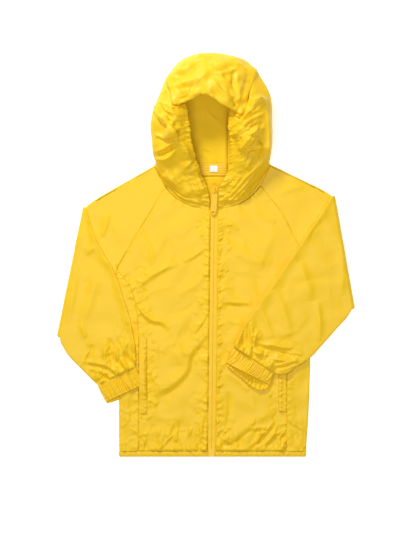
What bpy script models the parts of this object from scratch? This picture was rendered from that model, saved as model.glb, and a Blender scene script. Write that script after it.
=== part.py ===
"""A child's hooded windbreaker, zipped up and laid on its back on a flat surface.

Both raglan sleeves are folded at the shoulder point and lie on the fronts, and the hood stands
open above the neck. Lengths are millimetres until a mesh is made. +X is towards the wearer's
left, +Y runs from the hem to the hood, and Z is the height above the surface. The origin is on
the surface, under the middle of the body.
"""
import math
from collections import namedtuple

import bmesh
import bpy
import numpy as np

MM = 0.001

# The cloth and how its layers lie.
WALL = 1.2                # one layer of cloth with the air it holds
LAYERS = 4.4              # two layers on each other, outside to outside
ROUND = LAYERS / 2        # outer radius of a soft edge
REST = 0.3                # clearance of a piece that lies on another
TRIM = 0.25               # each piece stops this far short of its seam line
NECK_TRIM = 0.6           # and this far at the neck, where the hood turns up
FOLD_AXIS = LAYERS + 0.95  # height of the line that the sleeves are folded about
CUFF_LAYERS = 3.2         # a cuff is pressed flatter than the sleeve

# The zip.
ZIP_TOP = (4.7, 118.0)    # where the slider stands
ZIP_FOOT = (-0.9, -350.6)
TAPE_WIDTH = 6.8          # of one tape that shows beside the middle line
ZIP_MARGIN = 7.2          # from the middle of the zip to the edge of a front

# The lower edge.
HEM_TOP = -342.0
HEM_FOOT = -350.8

NECK_BACK = 137.0         # the back neck seam lies straight across

CLOTH_YELLOW = (1.0, 0.66, 0.045)
WELT_YELLOW = (0.95, 0.60, 0.04)
ZIP_YELLOW = (1.0, 0.63, 0.05)
LABEL_WHITE = (0.9, 0.9, 0.88)


# ---------------------------------------------------------------- curves and grids

def spline(keys, points, places):
    """Points at the given places of a smooth curve that passes through points at the keys."""
    keys = np.asarray(keys, float)
    points = np.asarray(points, float)
    places = np.asarray(places, float)
    slopes = np.gradient(points, keys, axis=0)
    at = np.clip(np.searchsorted(keys, places, side="right") - 1, 0, len(keys) - 2)
    step = (keys[at + 1] - keys[at])[:, None]
    f = (places - keys[at])[:, None] / step
    start = (1 + 2 * f) * (1 - f) ** 2 * points[at] + f * (1 - f) ** 2 * step * slopes[at]
    end = f ** 2 * (3 - 2 * f) * points[at + 1] + f ** 2 * (f - 1) * step * slopes[at + 1]
    return start + end


def along(points, count):
    """count points spread evenly by number along the smooth curve through points."""
    return spline(range(len(points)), points, np.linspace(0, len(points) - 1, count))


def mix(a, b, share):
    """The point that lies the given share of the way from a to b."""
    return np.asarray(a, float) + (np.asarray(b, float) - np.asarray(a, float)) * share


def drawn_in(edge, inner, distance):
    """The edge points moved towards their inner neighbours, along the cloth."""
    step = inner - edge
    length = np.linalg.norm(step, axis=-1, keepdims=True)
    return edge + step * np.where(length > distance, distance / np.maximum(length, 1e-9), 0)


def trimmed(grid, first_row=0, last_row=0, first_column=0, last_column=0):
    """The grid with its edges drawn in by these distances, to leave a gap at the seams."""
    grid = np.array(grid, float)
    grid[0] = drawn_in(grid[0], grid[1], first_row)
    grid[-1] = drawn_in(grid[-1], grid[-2], last_row)
    grid[:, 0] = drawn_in(grid[:, 0], grid[:, 1], first_column)
    grid[:, -1] = drawn_in(grid[:, -1], grid[:, -2], last_column)
    return grid


def patch(bottom, top, left, right):
    """A grid that fills four edges: bottom and top run left to right, left and right run up."""
    across = np.linspace(0, 1, len(bottom))[None, :, None]
    up = np.linspace(0, 1, len(left))[:, None, None]
    bottom, top, left, right = (np.asarray(edge, float) for edge in (bottom, top, left, right))
    rows = (1 - across) * left[:, None] + across * right[:, None]
    columns = (1 - up) * bottom[None] + up * top[None]
    corners = ((1 - across) * ((1 - up) * bottom[0] + up * top[0])
               + across * ((1 - up) * bottom[-1] + up * top[-1]))
    return rows + columns - corners


# ---------------------------------------------------------------- making the solids

def material(name, colour, roughness=0.45):
    """A plain Principled material."""
    made = bpy.data.materials.new(name)
    made.use_nodes = True
    shader = made.node_tree.nodes["Principled BSDF"]
    shader.inputs["Base Color"].default_value = (*colour, 1)
    shader.inputs["Roughness"].default_value = roughness
    shader.inputs["Metallic"].default_value = 0
    return made


def add_object(name, shape, finish):
    """An object made of a bmesh."""
    mesh = bpy.data.meshes.new(name)
    shape.to_mesh(mesh)
    shape.free()
    mesh.materials.append(finish)
    made = bpy.data.objects.new(name, mesh)
    bpy.context.scene.collection.objects.link(made)
    return made


def cloth(name, grid, finish, turn_over=False, wall=WALL):
    """A wall of cloth whose outer face passes through a grid of points.

    Points of the grid that fall together are joined, so a grid whose first and last columns
    agree becomes a tube. The wall grows inwards from the outer face.
    """
    grid = np.asarray(grid, float)
    if turn_over:
        grid = grid[:, ::-1]
    rows, columns = grid.shape[:2]
    shape = bmesh.new()
    bmesh.ops.create_grid(shape, x_segments=columns - 1, y_segments=rows - 1, size=1)
    for vertex in shape.verts:
        column = round((vertex.co.x + 1) / 2 * (columns - 1))
        row = round((vertex.co.y + 1) / 2 * (rows - 1))
        vertex.co = grid[row, column] * MM
    bmesh.ops.remove_doubles(shape, verts=shape.verts, dist=0.02 * MM)
    made = add_object(name, shape, finish)
    made.data.shade_smooth()
    thick = made.modifiers.new("Wall", "SOLIDIFY")
    thick.thickness = wall * MM
    thick.offset = -1
    thick.use_rim = True
    return made


def bar(shape, low, high):
    """A rectangular bar added to a bmesh, between two corners."""
    low, high = np.asarray(low, float), np.asarray(high, float)
    for vertex in bmesh.ops.create_cube(shape, size=1)["verts"]:
        vertex.co = (low + (np.array(vertex.co) + 0.5) * (high - low)) * MM


def combine(base, other, operation):
    """Unite another object with base or cut it away, and hide the other as a tool."""
    step = base.modifiers.new(other.name, "BOOLEAN")
    step.operation = operation
    step.solver = "EXACT"
    step.object = other
    other.hide_render = True
    other.display_type = "WIRE"


# ---------------------------------------------------------------- the outline of the body

# The lower body, from the underarm to the hem. right_edge and left_edge are its folded edges,
# right_seam and left_seam are the side seams, which are brought forward onto the front.
BodyRow = namedtuple("BodyRow", "y right_edge right_seam left_seam left_edge")
BODY = [
    BodyRow(-27.5, -166.8, -164.0, 169.2, 172.5),
    BodyRow(-44.0, -165.6, -150.0, 155.0, 173.6),
    BodyRow(-66.0, -164.4, -138.2, 142.7, 174.0),
    BodyRow(-104.0, -162.7, -130.5, 133.1, 172.3),
    BodyRow(-142.0, -161.8, -127.9, 130.5, 171.6),
    BodyRow(-196.0, -161.8, -127.9, 130.5, 170.4),
    BodyRow(-250.0, -161.8, -127.9, 130.5, 168.8),
    BodyRow(-300.0, -161.8, -127.9, 130.0, 166.2),
    BodyRow(HEM_TOP, -161.5, -127.9, 129.3, 163.2),
]

# Raglan seams, from the neck to the underarm: x and y.
FRONT_RAGLAN = {
    "right": [(-82.7, 121.3), (-93.5, 100.5), (-105.3, 78.3), (-121.5, 51.5), (-138.2, 24.4),
              (-164.6, -22.6)],
    "left": [(84.4, 121.3), (103.0, 98.0), (122.5, 72.2), (140.4, 36.2), (153.6, 15.3),
             (169.8, -22.6)],
}
BACK_RAGLAN = {
    "right": [(-70.0, NECK_BACK), (-84.0, 110.0), (-100.0, 82.0), (-118.0, 52.0),
              (-136.0, 24.4), (-164.6, -22.6)],
    "left": [(70.0, NECK_BACK), (86.0, 110.0), (104.0, 80.0), (126.0, 45.0), (146.0, 15.3),
             (169.8, -22.6)],
}

# The front neck seam, from the zip to the front raglan seam: x and y.
FRONT_NECK = {
    "right": [(-4.2, 78.0), (-22.6, 81.8), (-41.4, 87.0), (-58.0, 95.5), (-71.5, 107.5),
              (-82.7, 121.3)],
    "left": [(11.6, 78.0), (25.0, 81.8), (43.2, 87.0), (59.5, 95.5), (73.0, 107.5),
             (84.4, 121.3)],
}
SIGN = {"right": -1, "left": 1}


def zip_middle(y):
    """x of the zip's middle line, which lies a little aslant."""
    share = (y - ZIP_FOOT[1]) / (ZIP_TOP[1] - ZIP_FOOT[1])
    return ZIP_FOOT[0] + (ZIP_TOP[0] - ZIP_FOOT[0]) * share


def at_height(points, z):
    """Plan points lifted to one height."""
    return np.array([(x, y, z) for x, y in points], float)


# ---------------------------------------------------------------- back, fronts and hem

FOLD_ANGLES = (90, 45, 0, -45, -90)   # round a side fold, from the top layer to the bottom one
ACROSS = np.linspace(0, 1, 7)[1:-1]   # the inner points of the layer on the surface, as shares


def side_end(end_x, edge_x, y, sign):
    """One side of a section: from its end on the front, round the folded edge, to underneath."""
    tangent = edge_x - sign * ROUND
    line = [(end_x, y, LAYERS), (mix(end_x, tangent, 0.5), y, LAYERS)]
    for angle in np.radians(FOLD_ANGLES):
        line.append((tangent + sign * ROUND * math.cos(angle), y,
                     ROUND + ROUND * math.sin(angle)))
    return line


def body_section(row, right_end, left_end):
    """A line round the back, from one end on the front, under the body, to the other end."""
    right = side_end(right_end, row.right_edge, row.y, SIGN["right"])
    left = side_end(left_end, row.left_edge, row.y, SIGN["left"])
    return right + [mix(right[-1], left[-1], share) for share in ACROSS] + left[::-1]


def back_grid():
    """The back: one layer between the raglan seams, then wrapped round both sides."""
    wrapped = len(side_end(0, 0, 0, 1))
    rows = []
    for right, left in zip(BACK_RAGLAN["right"], BACK_RAGLAN["left"]):
        inner = [mix((*right, 0), (*left, 0), share) for share in ACROSS]
        rows.append([(*right, 0)] * wrapped + inner + [(*left, 0)] * wrapped)
    for row in BODY:
        rows.append(body_section(row, row.right_seam, row.left_seam))
    return np.array(rows, float)


# The largest folds of the fronts, each a soft ridge from its start to its end. width is from
# its crest to where it dies out, and rise is the height of the crest above the flat cloth.
Fold = namedtuple("Fold", "start_x start_y end_x end_y width rise")
FOLDS = [
    Fold(-14, 14, -112, -62, 11, 1.6),       # from the zip down to the right underarm
    Fold(-12, -150, -44, -206, 12, 1.8),     # from the zip down towards the right pocket
    Fold(-44, -206, -84, -240, 12, 1.8),
    Fold(-84, -240, -108, -245, 10, 1.2),
    Fold(14, -328, 106, -284, 13, 2.0),      # above the hem on the left front
    Fold(14, -80, 64, -78, 9, 1.2),          # beside the left cuff
]


def with_midpoints(line):
    """The line with a point added halfway along each of its stretches."""
    line = np.asarray(line, float)
    keys = np.arange(len(line))
    places = np.linspace(0, len(line) - 1, 2 * len(line) - 1)
    return np.array([np.interp(places, keys, column) for column in line.T]).T


def fold_height(x, y):
    """How far the folds lift the cloth above its flat height, for arrays of x and y."""
    height = np.zeros_like(x)
    for fold in FOLDS:
        run = np.array((fold.end_x - fold.start_x, fold.end_y - fold.start_y), float)
        length = np.linalg.norm(run)
        ahead = ((x - fold.start_x) * run[0] + (y - fold.start_y) * run[1]) / length
        beside = ((x - fold.start_x) * run[1] - (y - fold.start_y) * run[0]) / length
        past = np.maximum(np.maximum(-ahead, ahead - length), 0)
        away = np.hypot(beside, past) / fold.width
        height = np.maximum(height, fold.rise * np.maximum(1 - away ** 2, 0) ** 2)
    return height


def front_grid(side):
    """One front, from the hem up and from the side seam to the zip, with its largest folds."""
    seam = [(getattr(row, side + "_seam"), row.y) for row in BODY]
    outer = with_midpoints(at_height(seam[::-1] + FRONT_RAGLAN[side][::-1], LAYERS))
    neck_y = FRONT_NECK[side][0][1]
    reach = (outer[:, 1] - outer[0, 1]) / (outer[-1, 1] - outer[0, 1])
    ys = HEM_TOP + (neck_y - HEM_TOP) * reach
    middle = at_height([(zip_middle(y) + SIGN[side] * ZIP_MARGIN, y) for y in ys], LAYERS)
    neck = with_midpoints(at_height(FRONT_NECK[side][::-1], LAYERS))
    hem = np.array([mix(outer[0], middle[0], share) for share in np.linspace(0, 1, len(neck))])
    grid = patch(hem, neck, outer, middle)
    inside = grid[1:-1, 1:-1]
    inside[..., 2] += fold_height(inside[..., 0], inside[..., 1])
    return grid


# Down the hem binding: y, and how far the elastic draws in each side edge.
HEM = ((HEM_TOP, 0.0), ((HEM_TOP + HEM_FOOT) / 2, 0.2), (HEM_FOOT, 1.0))


def hem_grid():
    """The hem binding: an elastic band round the lower edge, open at the zip."""
    last = BODY[-1]
    rows = []
    for y, narrowing in HEM:
        row = last._replace(y=y, right_edge=last.right_edge + narrowing,
                            left_edge=last.left_edge - narrowing)
        gate = zip_middle(row.y)
        rows.append(body_section(row, gate - ZIP_MARGIN, gate + ZIP_MARGIN))
    return np.array(rows, float)


# ---------------------------------------------------------------- sleeves and cuffs

# A sleeve's rows go from the underarm to the cuff. over and under are the plan points of its
# two long edges, turn is how far the row is rolled about the fold, and base is the height of
# the underside once the sleeve lies on the front.
SleeveRow = namedtuple("SleeveRow", "over_x over_y under_x under_y turn base")
SHOULDER = {                      # over-arm edge beside each raglan point, neck to underarm
    "right": [(-99.5, 156.0), (-122.0, 143.2), (-146.0, 129.4), (-170.0, 115.7),
              (-190.0, 104.3), (-205.0, 95.0)],
    "left": [(101.5, 157.0), (124.0, 146.4), (147.0, 135.5), (169.0, 124.8), (185.0, 117.2),
             (197.0, 110.5)],
}
FOLD = {                          # the fold line: shoulder point, then elbow
    "right": ((-219.0, 83.0), (-264.8, -143.0)),
    "left": ((208.5, 102.5), (243.2, -94.0)),
}
UNDERARM = {
    "right": [SleeveRow(-210.5, 91.0, -176.0, -36.0, 0, 0),
              SleeveRow(-215.5, 87.0, -212.0, -78.0, 0, 0)],
    "left": [SleeveRow(201.0, 108.0, 180.0, -32.0, 0, 0),
             SleeveRow(205.5, 105.0, 208.0, -60.0, 0, 0)],
}
FOREARM = {
    "right": [SleeveRow(-211.5, 55.0, -263.0, -151.0, 180, 6.3),
              SleeveRow(-200.4, 25.2, -254.0, -168.0, 180, 6.2),
              SleeveRow(-185.5, -2.0, -243.5, -181.0, 180, 6.0),
              SleeveRow(-171.0, -27.8, -234.0, -191.0, 180, 5.8),
              SleeveRow(-152.8, -77.3, -223.0, -202.5, 180, 5.5),
              SleeveRow(-140.5, -121.3, -212.5, -213.0, 180, 5.2),
              SleeveRow(-134.5, -160.0, -204.5, -221.0, 180, 4.9),
              SleeveRow(-132.8, -195.7, -198.2, -226.2, 180, 4.8)],
    "left": [SleeveRow(193.0, 78.0, 236.0, -106.5, 180, 6.3),
             SleeveRow(168.0, 40.5, 221.0, -123.5, 180, 6.3),
             SleeveRow(143.0, 4.0, 206.0, -140.5, 180, 6.3),
             SleeveRow(117.0, -33.5, 190.0, -158.5, 180, 6.3),
             SleeveRow(91.0, -71.0, 171.6, -178.3, 180, 6.3),
             SleeveRow(64.0, -110.3, 149.0, -193.5, 180, 6.3),
             SleeveRow(49.0, -139.0, 127.0, -206.5, 180, 6.3),
             SleeveRow(38.3, -161.8, 108.9, -206.0, 180, 6.0)],
}
FOLD_TURNS = (0, 30, 60, 90, 120, 150, 180)

# Where a section of the sleeve has its points: inset from an edge in edge radii or, where it
# is a share, of the width, and height as a share of the two layers. under edge first.
RingPoint = namedtuple("RingPoint", "share radii height")
RING = [
    RingPoint(0.0, 0.0, 0.5), RingPoint(0.0, 0.3, 0.85), RingPoint(0.0, 1.0, 1.0),
    RingPoint(0.5, 0.0, 1.0), RingPoint(1.0, -1.0, 1.0), RingPoint(1.0, -0.3, 0.85),
    RingPoint(1.0, 0.0, 0.5), RingPoint(1.0, -0.3, 0.15), RingPoint(1.0, -1.0, 0.0),
    RingPoint(0.5, 0.0, 0.0), RingPoint(0.0, 1.0, 0.0), RingPoint(0.0, 0.3, 0.15),
    RingPoint(0.0, 0.0, 0.5),
]
HEAD_SHARES = (0.0, 0.12, 0.3, 0.6)   # the open end's points from a raglan seam, as shares


def head_section(front, over, back):
    """The open sleeve head: top layer, over-arm edge, bottom layer."""
    top = [mix((*front, LAYERS), (*over, LAYERS), share) for share in HEAD_SHARES]
    low = [mix((*back, 0), (*over, 0), share) for share in HEAD_SHARES]
    inward = (np.array(front) - over) / np.linalg.norm(np.array(front) - over)
    edge = []
    for point in RING[4:9]:
        x, y = np.array(over) - inward * point.radii * ROUND
        edge.append((x, y, point.height * LAYERS))
    return np.array(top + edge + low[::-1])


def tube_section(row, outward, thick=LAYERS):
    """A closed flat section of the sleeve, rolled about the fold or laid on the front."""
    over = np.array((row.over_x, row.over_y))
    under = np.array((row.under_x, row.under_y))
    width = np.linalg.norm(over - under)
    line = []
    for point in RING:
        share = point.share + point.radii * (thick / 2) / width
        plan = mix(under, over, share)
        height = point.height * thick
        if row.base:
            line.append((*plan, row.base + thick - height))
            continue
        radius = FOLD_AXIS - height
        turn = math.radians(row.turn)
        plan = plan + outward * radius * math.sin(turn)
        line.append((*plan, FOLD_AXIS - radius * math.cos(turn)))
    return np.array(line)


def fold_outward(side):
    """The level direction that points away from the garment, square to the fold line."""
    shoulder, elbow = np.array(FOLD[side])
    run = (elbow - shoulder) / np.linalg.norm(elbow - shoulder)
    return SIGN[side] * np.array((-run[1], run[0]))


def sleeve_grid(side):
    """One raglan sleeve, from the neck over the fold to the cuff seam."""
    rows = [head_section(front, over, back) for front, over, back
            in zip(FRONT_RAGLAN[side], SHOULDER[side], BACK_RAGLAN[side])]
    shoulder, elbow = FOLD[side]
    rolled = [SleeveRow(*shoulder, *elbow, turn, 0) for turn in FOLD_TURNS]
    for row in UNDERARM[side] + rolled + FOREARM[side]:
        rows.append(tube_section(row, fold_outward(side)))
    return np.array(rows)


# A cuff: the ends of its seam and of its mouth, the height it lies at, and how far the layer
# that lies below shows past the upper one at the mouth.
Cuff = namedtuple("Cuff", "seam_over seam_under mouth_over mouth_under base lip")
CUFFS = {
    "right": Cuff((-132.8, -195.7), (-198.2, -226.2), (-119.0, -225.1), (-184.4, -255.6),
                  4.9, 5.0),
    "left": Cuff((38.3, -161.8), (108.9, -206.0), (24.5, -186.2), (98.0, -228.5), 6.0, 7.0),
}


def cuff_grid(side):
    """One elastic cuff, a flat tube whose lower layer reaches further than the upper one."""
    cuff = CUFFS[side]
    over, under = np.array(cuff.seam_over), np.array(cuff.seam_under)
    axis = np.array(cuff.mouth_over) - over
    axis = axis / np.linalg.norm(axis)
    rows = []
    for share in np.linspace(0, 1, 4):
        end_over = mix(over, cuff.mouth_over, share)
        end_under = mix(under, cuff.mouth_under, share)
        row = SleeveRow(*end_over, *end_under, 180, cuff.base)
        line = tube_section(row, axis, CUFF_LAYERS)
        depth = 1 - (line[:, 2] - cuff.base) / CUFF_LAYERS
        line[:, :2] += axis * (cuff.lip * share * depth)[:, None]
        rows.append(line)
    return np.array(rows)


# ---------------------------------------------------------------- pocket welts

# Along a welt, foot to top: y, and how far it is lifted by what is tucked under it.
WeltRow = namedtuple("WeltRow", "y lift")
WELTS = {
    "right": [WeltRow(-276.0, 0.0), WeltRow(-262.0, 0.0), WeltRow(-248.0, 0.8),
              WeltRow(-236.0, 3.2), WeltRow(-226.0, 3.6), WeltRow(-210.0, 3.6),
              WeltRow(-196.0, 3.6), WeltRow(-184.0, 3.2), WeltRow(-170.0, 0.8),
              WeltRow(-156.0, 0.0), WeltRow(-142.3, 0.0)],
    "left": [WeltRow(-272.3, 0.0), WeltRow(-228.0, 0.0), WeltRow(-184.0, 0.0),
             WeltRow(-141.0, 0.0)],
}
WELT_SEAM = {"right": -127.4, "left": 130.2}      # x of the edge beside the side seam
WELT_WIDTH = 14.3

# Across a welt from the side seam: share of its width, and how much of the lift is felt there.
WELT_ACROSS = ((0.0, 1.0), (0.35, 1.0), (0.6, 1.0), (1.0, 0.0))


def welt_grid(side):
    """A folded strip on the front, along the side seam, sewn down along its inner edge."""
    flat = LAYERS + REST + WALL
    return np.array([[(WELT_SEAM[side] - SIGN[side] * WELT_WIDTH * share, row.y,
                       flat + row.lift * felt) for share, felt in WELT_ACROSS]
                     for row in WELTS[side]])


# ---------------------------------------------------------------- hood

# The hood's side panels, station by station from the crown seam down to the neck. edge is the
# hemmed face edge, crest the top of the roll beside it, shoulder a point on the outside, side
# the widest point and foot the seam with the centre panel on the surface.
Station = namedtuple("Station", "edge crest shoulder side foot")
HOOD = {
    "right": [
        Station((-46, 264, 50), (-65, 261, 64), (-73, 284, 53), (-80, 304, 24), (-43, 256)),
        Station((-41, 246, 49), (-69, 245, 66), (-87, 255, 54), (-98, 262, 26), (-43, 240)),
        Station((-39, 225, 47), (-66, 223, 65), (-91, 226, 53), (-105, 227, 27), (-43, 222)),
        Station((-37, 205, 43), (-60, 205, 60), (-88, 203, 49), (-105, 203, 26), (-43, 204)),
        Station((-33, 183, 36), (-50, 187, 50), (-81, 181, 42), (-103, 181, 23), (-43, 187)),
        Station((-27, 162, 27), (-37, 163, 36), (-74, 160, 34), (-99, 167, 18), (-43, 172)),
        Station((-17, 139, 20), (-26, 139, 25), (-68, 139, 26), (-97, 161, 13), (-43, 159)),
        Station((-8, 114, 14), (-22, 115, 17), (-63, 121, 18), (-98, 158, 9), (-43, 147)),
        Station((-4.0, 96, 8), (-24, 98, 10), (-60, 110, 11), (-99, 156.5, 5), (-43, 140)),
    ],
    "left": [
        Station((31, 258, 50), (50.5, 244, 62), (65, 281, 54), (78.5, 321, 24), (27, 256)),
        Station((29.6, 240, 48), (54, 232, 64), (80, 260, 54), (97, 286, 26), (27, 240)),
        Station((29.6, 222, 46), (57, 216, 64), (88, 233, 53), (103, 252, 27), (27, 222)),
        Station((30, 204, 42), (57, 202, 60), (88, 208, 49), (104, 218, 26), (27, 204)),
        Station((30.4, 184, 35), (53, 187, 50), (83, 186, 42), (103.5, 190, 23), (27, 187)),
        Station((29.6, 161, 27), (45, 164, 37), (77, 164, 34), (101, 171, 18), (27, 172)),
        Station((24, 139, 20), (34, 141, 25), (69, 141, 26), (98.5, 163, 13), (27, 159)),
        Station((13, 115, 14), (27, 117, 17), (64, 121, 18), (99.5, 159.5, 9), (27, 147)),
        Station((11.4, 96, 8), (31, 98, 10), (61, 110, 11), (100.5, 157.5, 5), (27, 140)),
    ],
}
CONTACT_SHARE = 0.3       # of the way from side to foot, where a side panel meets the surface
SIDE_KEYS = (0, 2, 6, 11, 14, 18)   # columns of edge, crest, shoulder, side, contact and foot

# The centre panel between the two crown seams, from its turned hem over the crown and along
# the surface to the neck: three lines of points, the outer two beside the middle one.
CentreRow = namedtuple("CentreRow", "right_line middle left_line")
CENTRE = [
    CentreRow((-36, 279, 58), (-13, 291, 62), (13, 277, 60)),
    CentreRow((-40, 270, 68), (-14, 280.5, 73), (17, 264, 70)),
    CentreRow((-44, 302, 66), (-7, 314, 70), (32, 299, 68)),
    CentreRow((-52, 341, 26), (0, 352, 28), (50, 342, 26)),
    CentreRow((-44, 322, 0), (-2, 333, 0), (42, 323, 0)),
    CentreRow((-25, 256, 0), (-8, 256, 0), (10, 256, 0)),
    CentreRow((-25, NECK_BACK, 0), (-8, NECK_BACK, 0), (10, NECK_BACK, 0)),
]


def hood_neck(side):
    """The hood's neck edge: front neck seam, round the sleeve head, back neck."""
    front = at_height(FRONT_NECK[side], LAYERS)
    head = head_section(FRONT_RAGLAN[side][0], SHOULDER[side][0], BACK_RAGLAN[side][0])
    foot = (HOOD[side][0].foot[0], NECK_BACK, 0)
    return np.vstack((front[:-1], head, [foot]))


def hood_side_grid(side):
    """A side panel: C-shaped from the face edge, over the outside, to the seam underneath."""
    columns = np.arange(SIDE_KEYS[-1] + 1)
    sections = []
    for station in HOOD[side]:
        foot = (*station.foot, 0)
        contact = mix(station.side, foot, CONTACT_SHARE)
        contact[2] = 0
        keys = (station.edge, station.crest, station.shoulder, station.side, contact, foot)
        sections.append(spline(SIDE_KEYS, keys, columns))
    sections.append(hood_neck(side))
    sections = np.array(sections)
    flat = sections.reshape(len(sections), -1)
    grid = along(flat, 2 * len(sections) - 1).reshape(-1, len(columns), 3)
    grid[:, :, 2] = np.maximum(grid[:, :, 2], 0)
    return grid


def hood_centre_grid(right, left):
    """The centre panel, a ribbon whose long edges are the side panels' seams."""
    seams = [np.vstack((grid[0], grid[1:, -1])) for grid in (right, left)]
    count = len(seams[0])
    keys = (*SIDE_KEYS, count - 1)
    lines = [spline(keys, [row[line] for row in CENTRE], np.arange(count)) for line in range(3)]
    rows = []
    for points in zip(seams[0], *lines, seams[1]):
        rows.append(along(points, 9))
    grid = np.array(rows)
    grid[:, :, 2] = np.maximum(grid[:, :, 2], 0)
    return grid


# ---------------------------------------------------------------- neck tape and label

TAPE = {"right": -42.0, "left": 26.0, "low": 139.0, "high": 160.0}
LABEL = {"right": -3.8, "left": 10.4, "low": 144.2, "high": 155.7}
LABEL_WALL = 0.6


def strip_grid(box, top):
    """A flat strip with its upper face at one height."""
    xs = np.linspace(box["right"], box["left"], 5)
    return np.array([[(x, y, top) for x in xs] for y in (box["low"], box["high"])])


# ---------------------------------------------------------------- zip

# The zip's path: y and the height of the tapes' upper face, which climbs with the neck.
ZIP_PATH = [(-350.6, LAYERS), (-200, LAYERS), (-60, LAYERS), (50, LAYERS), (78, LAYERS),
            (88, 5.3), (98, 7.6), (108, 10.8), (114, 12.8)]
HINGE = (4.7, 113.0, 15.1)    # the pull's axis, above the slider
SLIDER_SLOPE = math.radians(18)
PULL_SLOPE = math.radians(11)

# The slider, from the hinge: its two plates lie over and under the tapes, a post joins them
# beyond the tapes' ends, and a bridge with an eye for the pull's pin stands on the upper plate.
HINGE_LIFT = 2.6              # of the hinge above the tapes' upper face
PLATE_WIDTH, PLATE_LENGTH, PLATE_WALL = 9.6, 16.0, 1.2
POST_WIDTH, POST_LENGTH, POST_INSET = 2.8, 3.5, 1.0
BRIDGE_WIDTH, BRIDGE_REACH, BRIDGE_TOP = 2.2, 4.4, 2.0
EYE_WALL = 1.1                # of the bridge round its eye
EYE_FOOT = -1.05
SINK = 0.5                    # how far a joined bar runs into its neighbour

# The pull, from the hinge: a pin, two arms beside the bridge, and a tab with a round end.
PIN_RADIUS, PIN_SIDES = 0.7, 10
ARM_INNER, ARM_OUTER = BRIDGE_WIDTH / 2 + 0.5, BRIDGE_WIDTH / 2 + 1.9
ARM_FOOT, NECK_TOP, TAB_TOP = -6.6, -5.6, -8.1
TAB_END, TAB_WIDTH, TAB_WALL = -45.0, 10.4, 1.2
TAB_LEAN = -2.6               # the tab's round end is off to the right
TAB_HOLE, TAB_HOLE_SIDES = 1.7, 16

BOX_WIDTH, BOX_TOP, BOX_FOOT, BOX_WALL, BOX_ROUND = 10.6, -337.6, -350.6, 1.8, 0.5


def tape_grid(side):
    """One zip tape, a smooth strip beside the middle line."""
    rows = []
    for y, z in ZIP_PATH:
        middle = zip_middle(y)
        inner, outer = middle + SIGN[side] * REST / 2, middle + SIGN[side] * TAPE_WIDTH
        rows.append([(inner, y, z), ((inner + outer) / 2, y, z), (outer, y, z)])
    return np.array(rows)


def make_slider(finish):
    """The slider: two plates round the tapes, a post beyond their ends, and a bridge on top."""
    half_width, half_length = PLATE_WIDTH / 2, PLATE_LENGTH / 2
    upper = REST + PLATE_WALL - HINGE_LIFT          # upper face of the upper plate
    under = -HINGE_LIFT - WALL - REST               # upper face of the lower plate
    post_end = half_length - POST_INSET
    corners = {
        "zip_slider": ((-half_width, -half_length, upper - PLATE_WALL),
                       (half_width, half_length, upper)),
        "slider_lower": ((-half_width, -half_length, under - PLATE_WALL),
                         (half_width, half_length, under)),
        "slider_post": ((-POST_WIDTH / 2, post_end - POST_LENGTH, under - SINK),
                        (POST_WIDTH / 2, post_end, upper - SINK)),
        "slider_bridge": ((-BRIDGE_WIDTH / 2, -BRIDGE_REACH, upper - SINK),
                          (BRIDGE_WIDTH / 2, BRIDGE_REACH, BRIDGE_TOP)),
        "slider_eye": ((-BRIDGE_WIDTH, EYE_WALL - BRIDGE_REACH, EYE_FOOT),
                       (BRIDGE_WIDTH, BRIDGE_REACH - EYE_WALL, BRIDGE_TOP - EYE_WALL)),
    }
    parts = []
    for name, (low, high) in corners.items():
        shape = bmesh.new()
        bar(shape, low, high)
        parts.append(add_object(name, shape, finish))
    plate, lower, post, bridge, eye = parts
    combine(plate, lower, "UNION")
    combine(plate, post, "UNION")
    combine(plate, bridge, "UNION")
    combine(plate, eye, "DIFFERENCE")
    return parts


def make_pull(finish):
    """The pull: a pin through the bridge, two arms beside it, and a long flat tab."""
    half = TAB_WIDTH / 2
    outline = [(ARM_INNER, PIN_RADIUS), (ARM_OUTER, PIN_RADIUS), (ARM_OUTER, NECK_TOP),
               (half, TAB_TOP)]
    for angle in np.radians(np.arange(0, 181, 30)):
        outline.append((TAB_LEAN + half * math.cos(angle),
                        TAB_END + half - half * math.sin(angle)))
    outline += [(-half, TAB_TOP), (-ARM_OUTER, NECK_TOP), (-ARM_OUTER, PIN_RADIUS),
                (-ARM_INNER, PIN_RADIUS), (-ARM_INNER, ARM_FOOT), (ARM_INNER, ARM_FOOT)]
    shape = bmesh.new()
    face = shape.faces.new([shape.verts.new((x * MM, y * MM, -TAB_WALL / 2 * MM))
                            for x, y in outline])
    grown = bmesh.ops.extrude_face_region(shape, geom=[face])["geom"]
    bmesh.ops.translate(shape, vec=(0, 0, TAB_WALL * MM),
                        verts=[item for item in grown if isinstance(item, bmesh.types.BMVert)])
    bmesh.ops.recalc_face_normals(shape, faces=shape.faces)
    tab = add_object("zip_pull", shape, finish)

    pin_shape = bmesh.new()
    bmesh.ops.create_cone(pin_shape, cap_ends=True, segments=PIN_SIDES, radius1=PIN_RADIUS * MM,
                          radius2=PIN_RADIUS * MM, depth=(ARM_INNER + ARM_OUTER) * MM)
    for vertex in pin_shape.verts:
        vertex.co = (vertex.co.z, vertex.co.y, -vertex.co.x)
    pin = add_object("pull_pin", pin_shape, finish)

    hole_shape = bmesh.new()
    bmesh.ops.create_cone(hole_shape, cap_ends=True, segments=TAB_HOLE_SIDES,
                          radius1=TAB_HOLE * MM, radius2=TAB_HOLE * MM, depth=4 * TAB_WALL * MM)
    bmesh.ops.translate(hole_shape, vec=(TAB_LEAN * MM, (TAB_END + half) * MM, 0),
                        verts=hole_shape.verts)
    hole = add_object("pull_hole", hole_shape, finish)
    combine(tab, pin, "UNION")
    combine(tab, hole, "DIFFERENCE")
    return [tab, pin, hole]


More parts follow.
